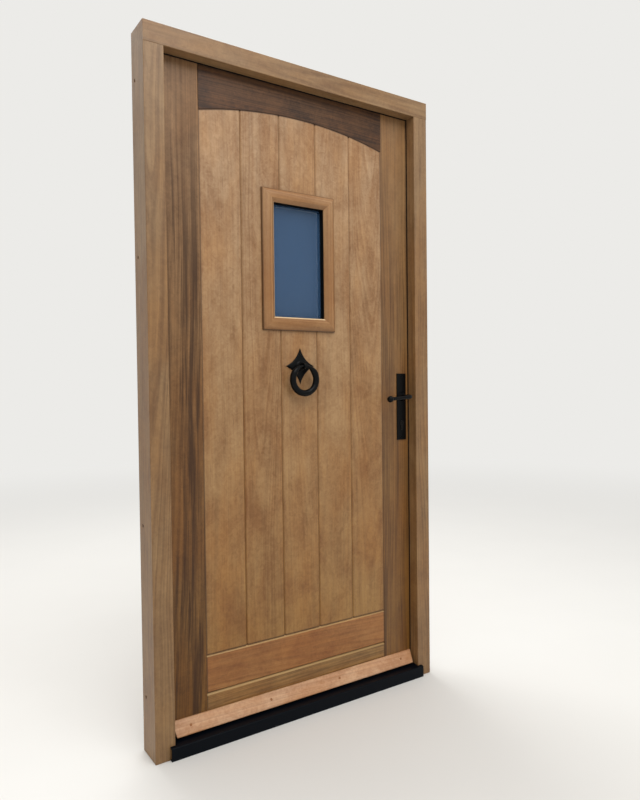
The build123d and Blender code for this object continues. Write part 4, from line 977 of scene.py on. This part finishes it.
class DOOR_OT_lock_and_hinges(bpy.types.Operator):
    """Finishes the handle plates, lock, keep, cylinder, hinges and their screws"""

    bl_idname = "door.lock_and_hinges"
    bl_label = "Handle plates, lock and hinges"

    def execute(self, context):
        metals = context.scene.door_iron
        finish_nodes(iron_of(metals), "outer_handle_plate", "inner_handle_plate")
        # Brushed upright, so highlights are drawn out in fine vertical lines
        steel = fine_grained("satin_brushed_steel", metals.steel, roughness=0.34, grain=0.8 * MM,
                             metallic=1.0, stretch=(1, 1, 0.05))
        finish_nodes(steel, "lock_faceplate", "lock_case", "latch_bolt", "deadbolt", "keep_plate", "spindle",
                     "follower", "hinge_pins", "frame_screws", "leaf_screws",
                     *(f"{place}_hinge_{half}_leaf" for place in ("top", "middle", "bottom")
                       for half in ("frame", "door")))
        # Blackened brass looks nearly black and keeps a soft shine
        brass = fine_grained("blackened_brass", metals.brass, roughness=0.36, grain=1.0 * MM)
        finish_nodes(brass, "cylinder_body", "key_plug", "thumbturn")
        return {"FINISHED"}


class DOOR_OT_stage(bpy.types.Operator):
    """Makes the floor, the background, the lamps and the camera"""

    bl_idname = "door.stage"
    bl_label = "Studio"

    def execute(self, context):
        sizes = context.scene.door_stage
        scene = context.scene

        # Floor: pale and matt, so the door stands out and keeps its shadow
        half_floor, drop = 12, 0.5 * MM
        mesh = bmesh.new()
        bmesh.ops.create_grid(mesh, x_segments=1, y_segments=1, size=half_floor)
        bmesh.ops.translate(mesh, vec=(0, 0, -drop), verts=mesh.verts)
        floor = bpy.data.objects.new("studio_floor", bpy.data.meshes.new("studio_floor"))
        mesh.to_mesh(floor.data)
        mesh.free()
        scene.collection.objects.link(floor)
        material, tree, place = blank_material("pale_matt_floor")
        mottle = add_node(tree, "ShaderNodeTexNoise", {"Vector": place, "Scale": 3.0, "Detail": 2.0})
        shader = add_node(tree, "ShaderNodeBsdfPrincipled", {
            "Base Color": mottled(tree, mottle, sizes.floor, darkest=0.97), "Roughness": 0.85})
        # Far from the door the floor fades into the background, so that no horizon shows
        away = add_node(tree, "ShaderNodeVectorMath", {0: place}, operation="LENGTH")
        fade = add_node(tree, "ShaderNodeMapRange", {"Value": away, "From Min": 1.2, "From Max": 7.0},
                        interpolation_type="SMOOTHSTEP")
        to_camera = add_node(tree, "ShaderNodeLightPath").outputs["Is Camera Ray"]
        share = add_node(tree, "ShaderNodeMath", {0: fade, 1: to_camera}, operation="MULTIPLY")
        glow = add_node(tree, "ShaderNodeEmission", {"Color": sizes.backdrop, "Strength": 1.0})
        blend = add_node(tree, "ShaderNodeMixShader", {0: share, 1: shader, 2: glow})
        add_node(tree, "ShaderNodeOutputMaterial", {"Surface": blend})
        floor.data.materials.append(material)

        # World: even light, with a pale background for the camera, reflections and glass
        world = bpy.data.worlds.new("studio")
        scene.world = world
        world.use_nodes = True
        tree = world.node_tree
        tree.nodes.clear()
        rays = add_node(tree, "ShaderNodeLightPath").outputs
        seen = rays["Is Camera Ray"]
        for ray in ("Is Glossy Ray", "Is Transmission Ray"):
            seen = add_node(tree, "ShaderNodeMath", {0: seen, 1: rays[ray]}, operation="MAXIMUM")
        upward = add_node(tree, "ShaderNodeSeparateXYZ", {
            "Vector": add_node(tree, "ShaderNodeTexCoord").outputs["Generated"]}).outputs["Z"]
        strength = add_node(tree, "ShaderNodeMapRange", {
            "Value": upward, "From Min": -0.3, "From Max": 0.9, "To Min": sizes.ground_light,
            "To Max": sizes.sky_light}, interpolation_type="SMOOTHSTEP")
        even = add_node(tree, "ShaderNodeBackground", {"Color": (1, 1, 1, 1), "Strength": strength})
        pale = add_node(tree, "ShaderNodeBackground", {"Color": sizes.backdrop, "Strength": 1.0})
        mixed = add_node(tree, "ShaderNodeMixShader", {0: seen, 1: even, 2: pale})
        add_node(tree, "ShaderNodeOutputWorld", {"Surface": mixed})

        # Lamps: large and high, before and behind, and aimed at the middle of the door
        lamp_size, aim = 2.4, Vector((0, 0, 1.0))
        for name, power, place in (("key_lamp", sizes.key_light, Vector((-0.2, -2.3, 4.0))),
                                   ("back_lamp", sizes.back_light, Vector((0.2, 2.3, 4.0)))):
            lamp = bpy.data.lights.new(name, "AREA")
            lamp.energy = power
            lamp.size = lamp_size
            holder = bpy.data.objects.new(name, lamp)
            holder.location = place
            holder.rotation_euler = (aim - place).to_track_quat("-Z", "Y").to_euler()
            scene.collection.objects.link(holder)

        # Camera
        camera = bpy.data.cameras.new("camera")
        camera.lens = LENS
        camera.sensor_width = SENSOR
        camera.clip_end = 50
        holder = bpy.data.objects.new("camera", camera)
        forward = Vector((math.sin(HEADING) * math.cos(PITCH), math.cos(HEADING) * math.cos(PITCH),
                          math.sin(PITCH)))
        level = forward.to_track_quat("-Z", "Y").to_matrix().to_4x4()
        holder.matrix_world = Matrix.Translation(EYE) @ level @ Matrix.Rotation(ROLL, 4, "Z")
        scene.collection.objects.link(holder)
        scene.camera = holder
        scene.view_settings.view_transform = "Standard"
        return {"FINISHED"}


GROUPS = {"door_timber": TimberSizes, "door_iron": IronSizes, "door_stage": StageSizes}
OPERATORS = (DOOR_OT_boards, DOOR_OT_framing, DOOR_OT_frame, DOOR_OT_glazing, DOOR_OT_threshold,
             DOOR_OT_knocker_plate, DOOR_OT_knocker_ring, DOOR_OT_levers, DOOR_OT_screws,
             DOOR_OT_lock_and_hinges, DOOR_OT_stage)


class DOOR_PT_sidebar(bpy.types.Panel):
    """Lists the door's pieces, sizes and colours"""

    bl_label = "Boarded front door"
    bl_space_type = "VIEW_3D"
    bl_region_type = "UI"
    bl_category = "Door"

    def draw(self, context):
        for operator in OPERATORS:
            self.layout.operator(operator.bl_idname)
        for name, group in GROUPS.items():
            box = self.layout.box()
            for size in group.__annotations__:
                box.prop(getattr(context.scene, name), size)


def register():
    for cls in (*GROUPS.values(), *OPERATORS, DOOR_PT_sidebar):
        bpy.utils.register_class(cls)
    for name, group in GROUPS.items():
        setattr(bpy.types.Scene, name, bpy.props.PointerProperty(type=group))


def unregister():
    for name in GROUPS:
        delattr(bpy.types.Scene, name)
    for cls in (DOOR_PT_sidebar, *reversed(OPERATORS), *GROUPS.values()):
        bpy.utils.unregister_class(cls)


def main():
    """Dresses the whole door."""
    register()
    for operator in OPERATORS:
        group, name = operator.bl_idname.split(".")
        getattr(getattr(bpy.ops, group), name)()


if __name__ == "__main__":
    main()
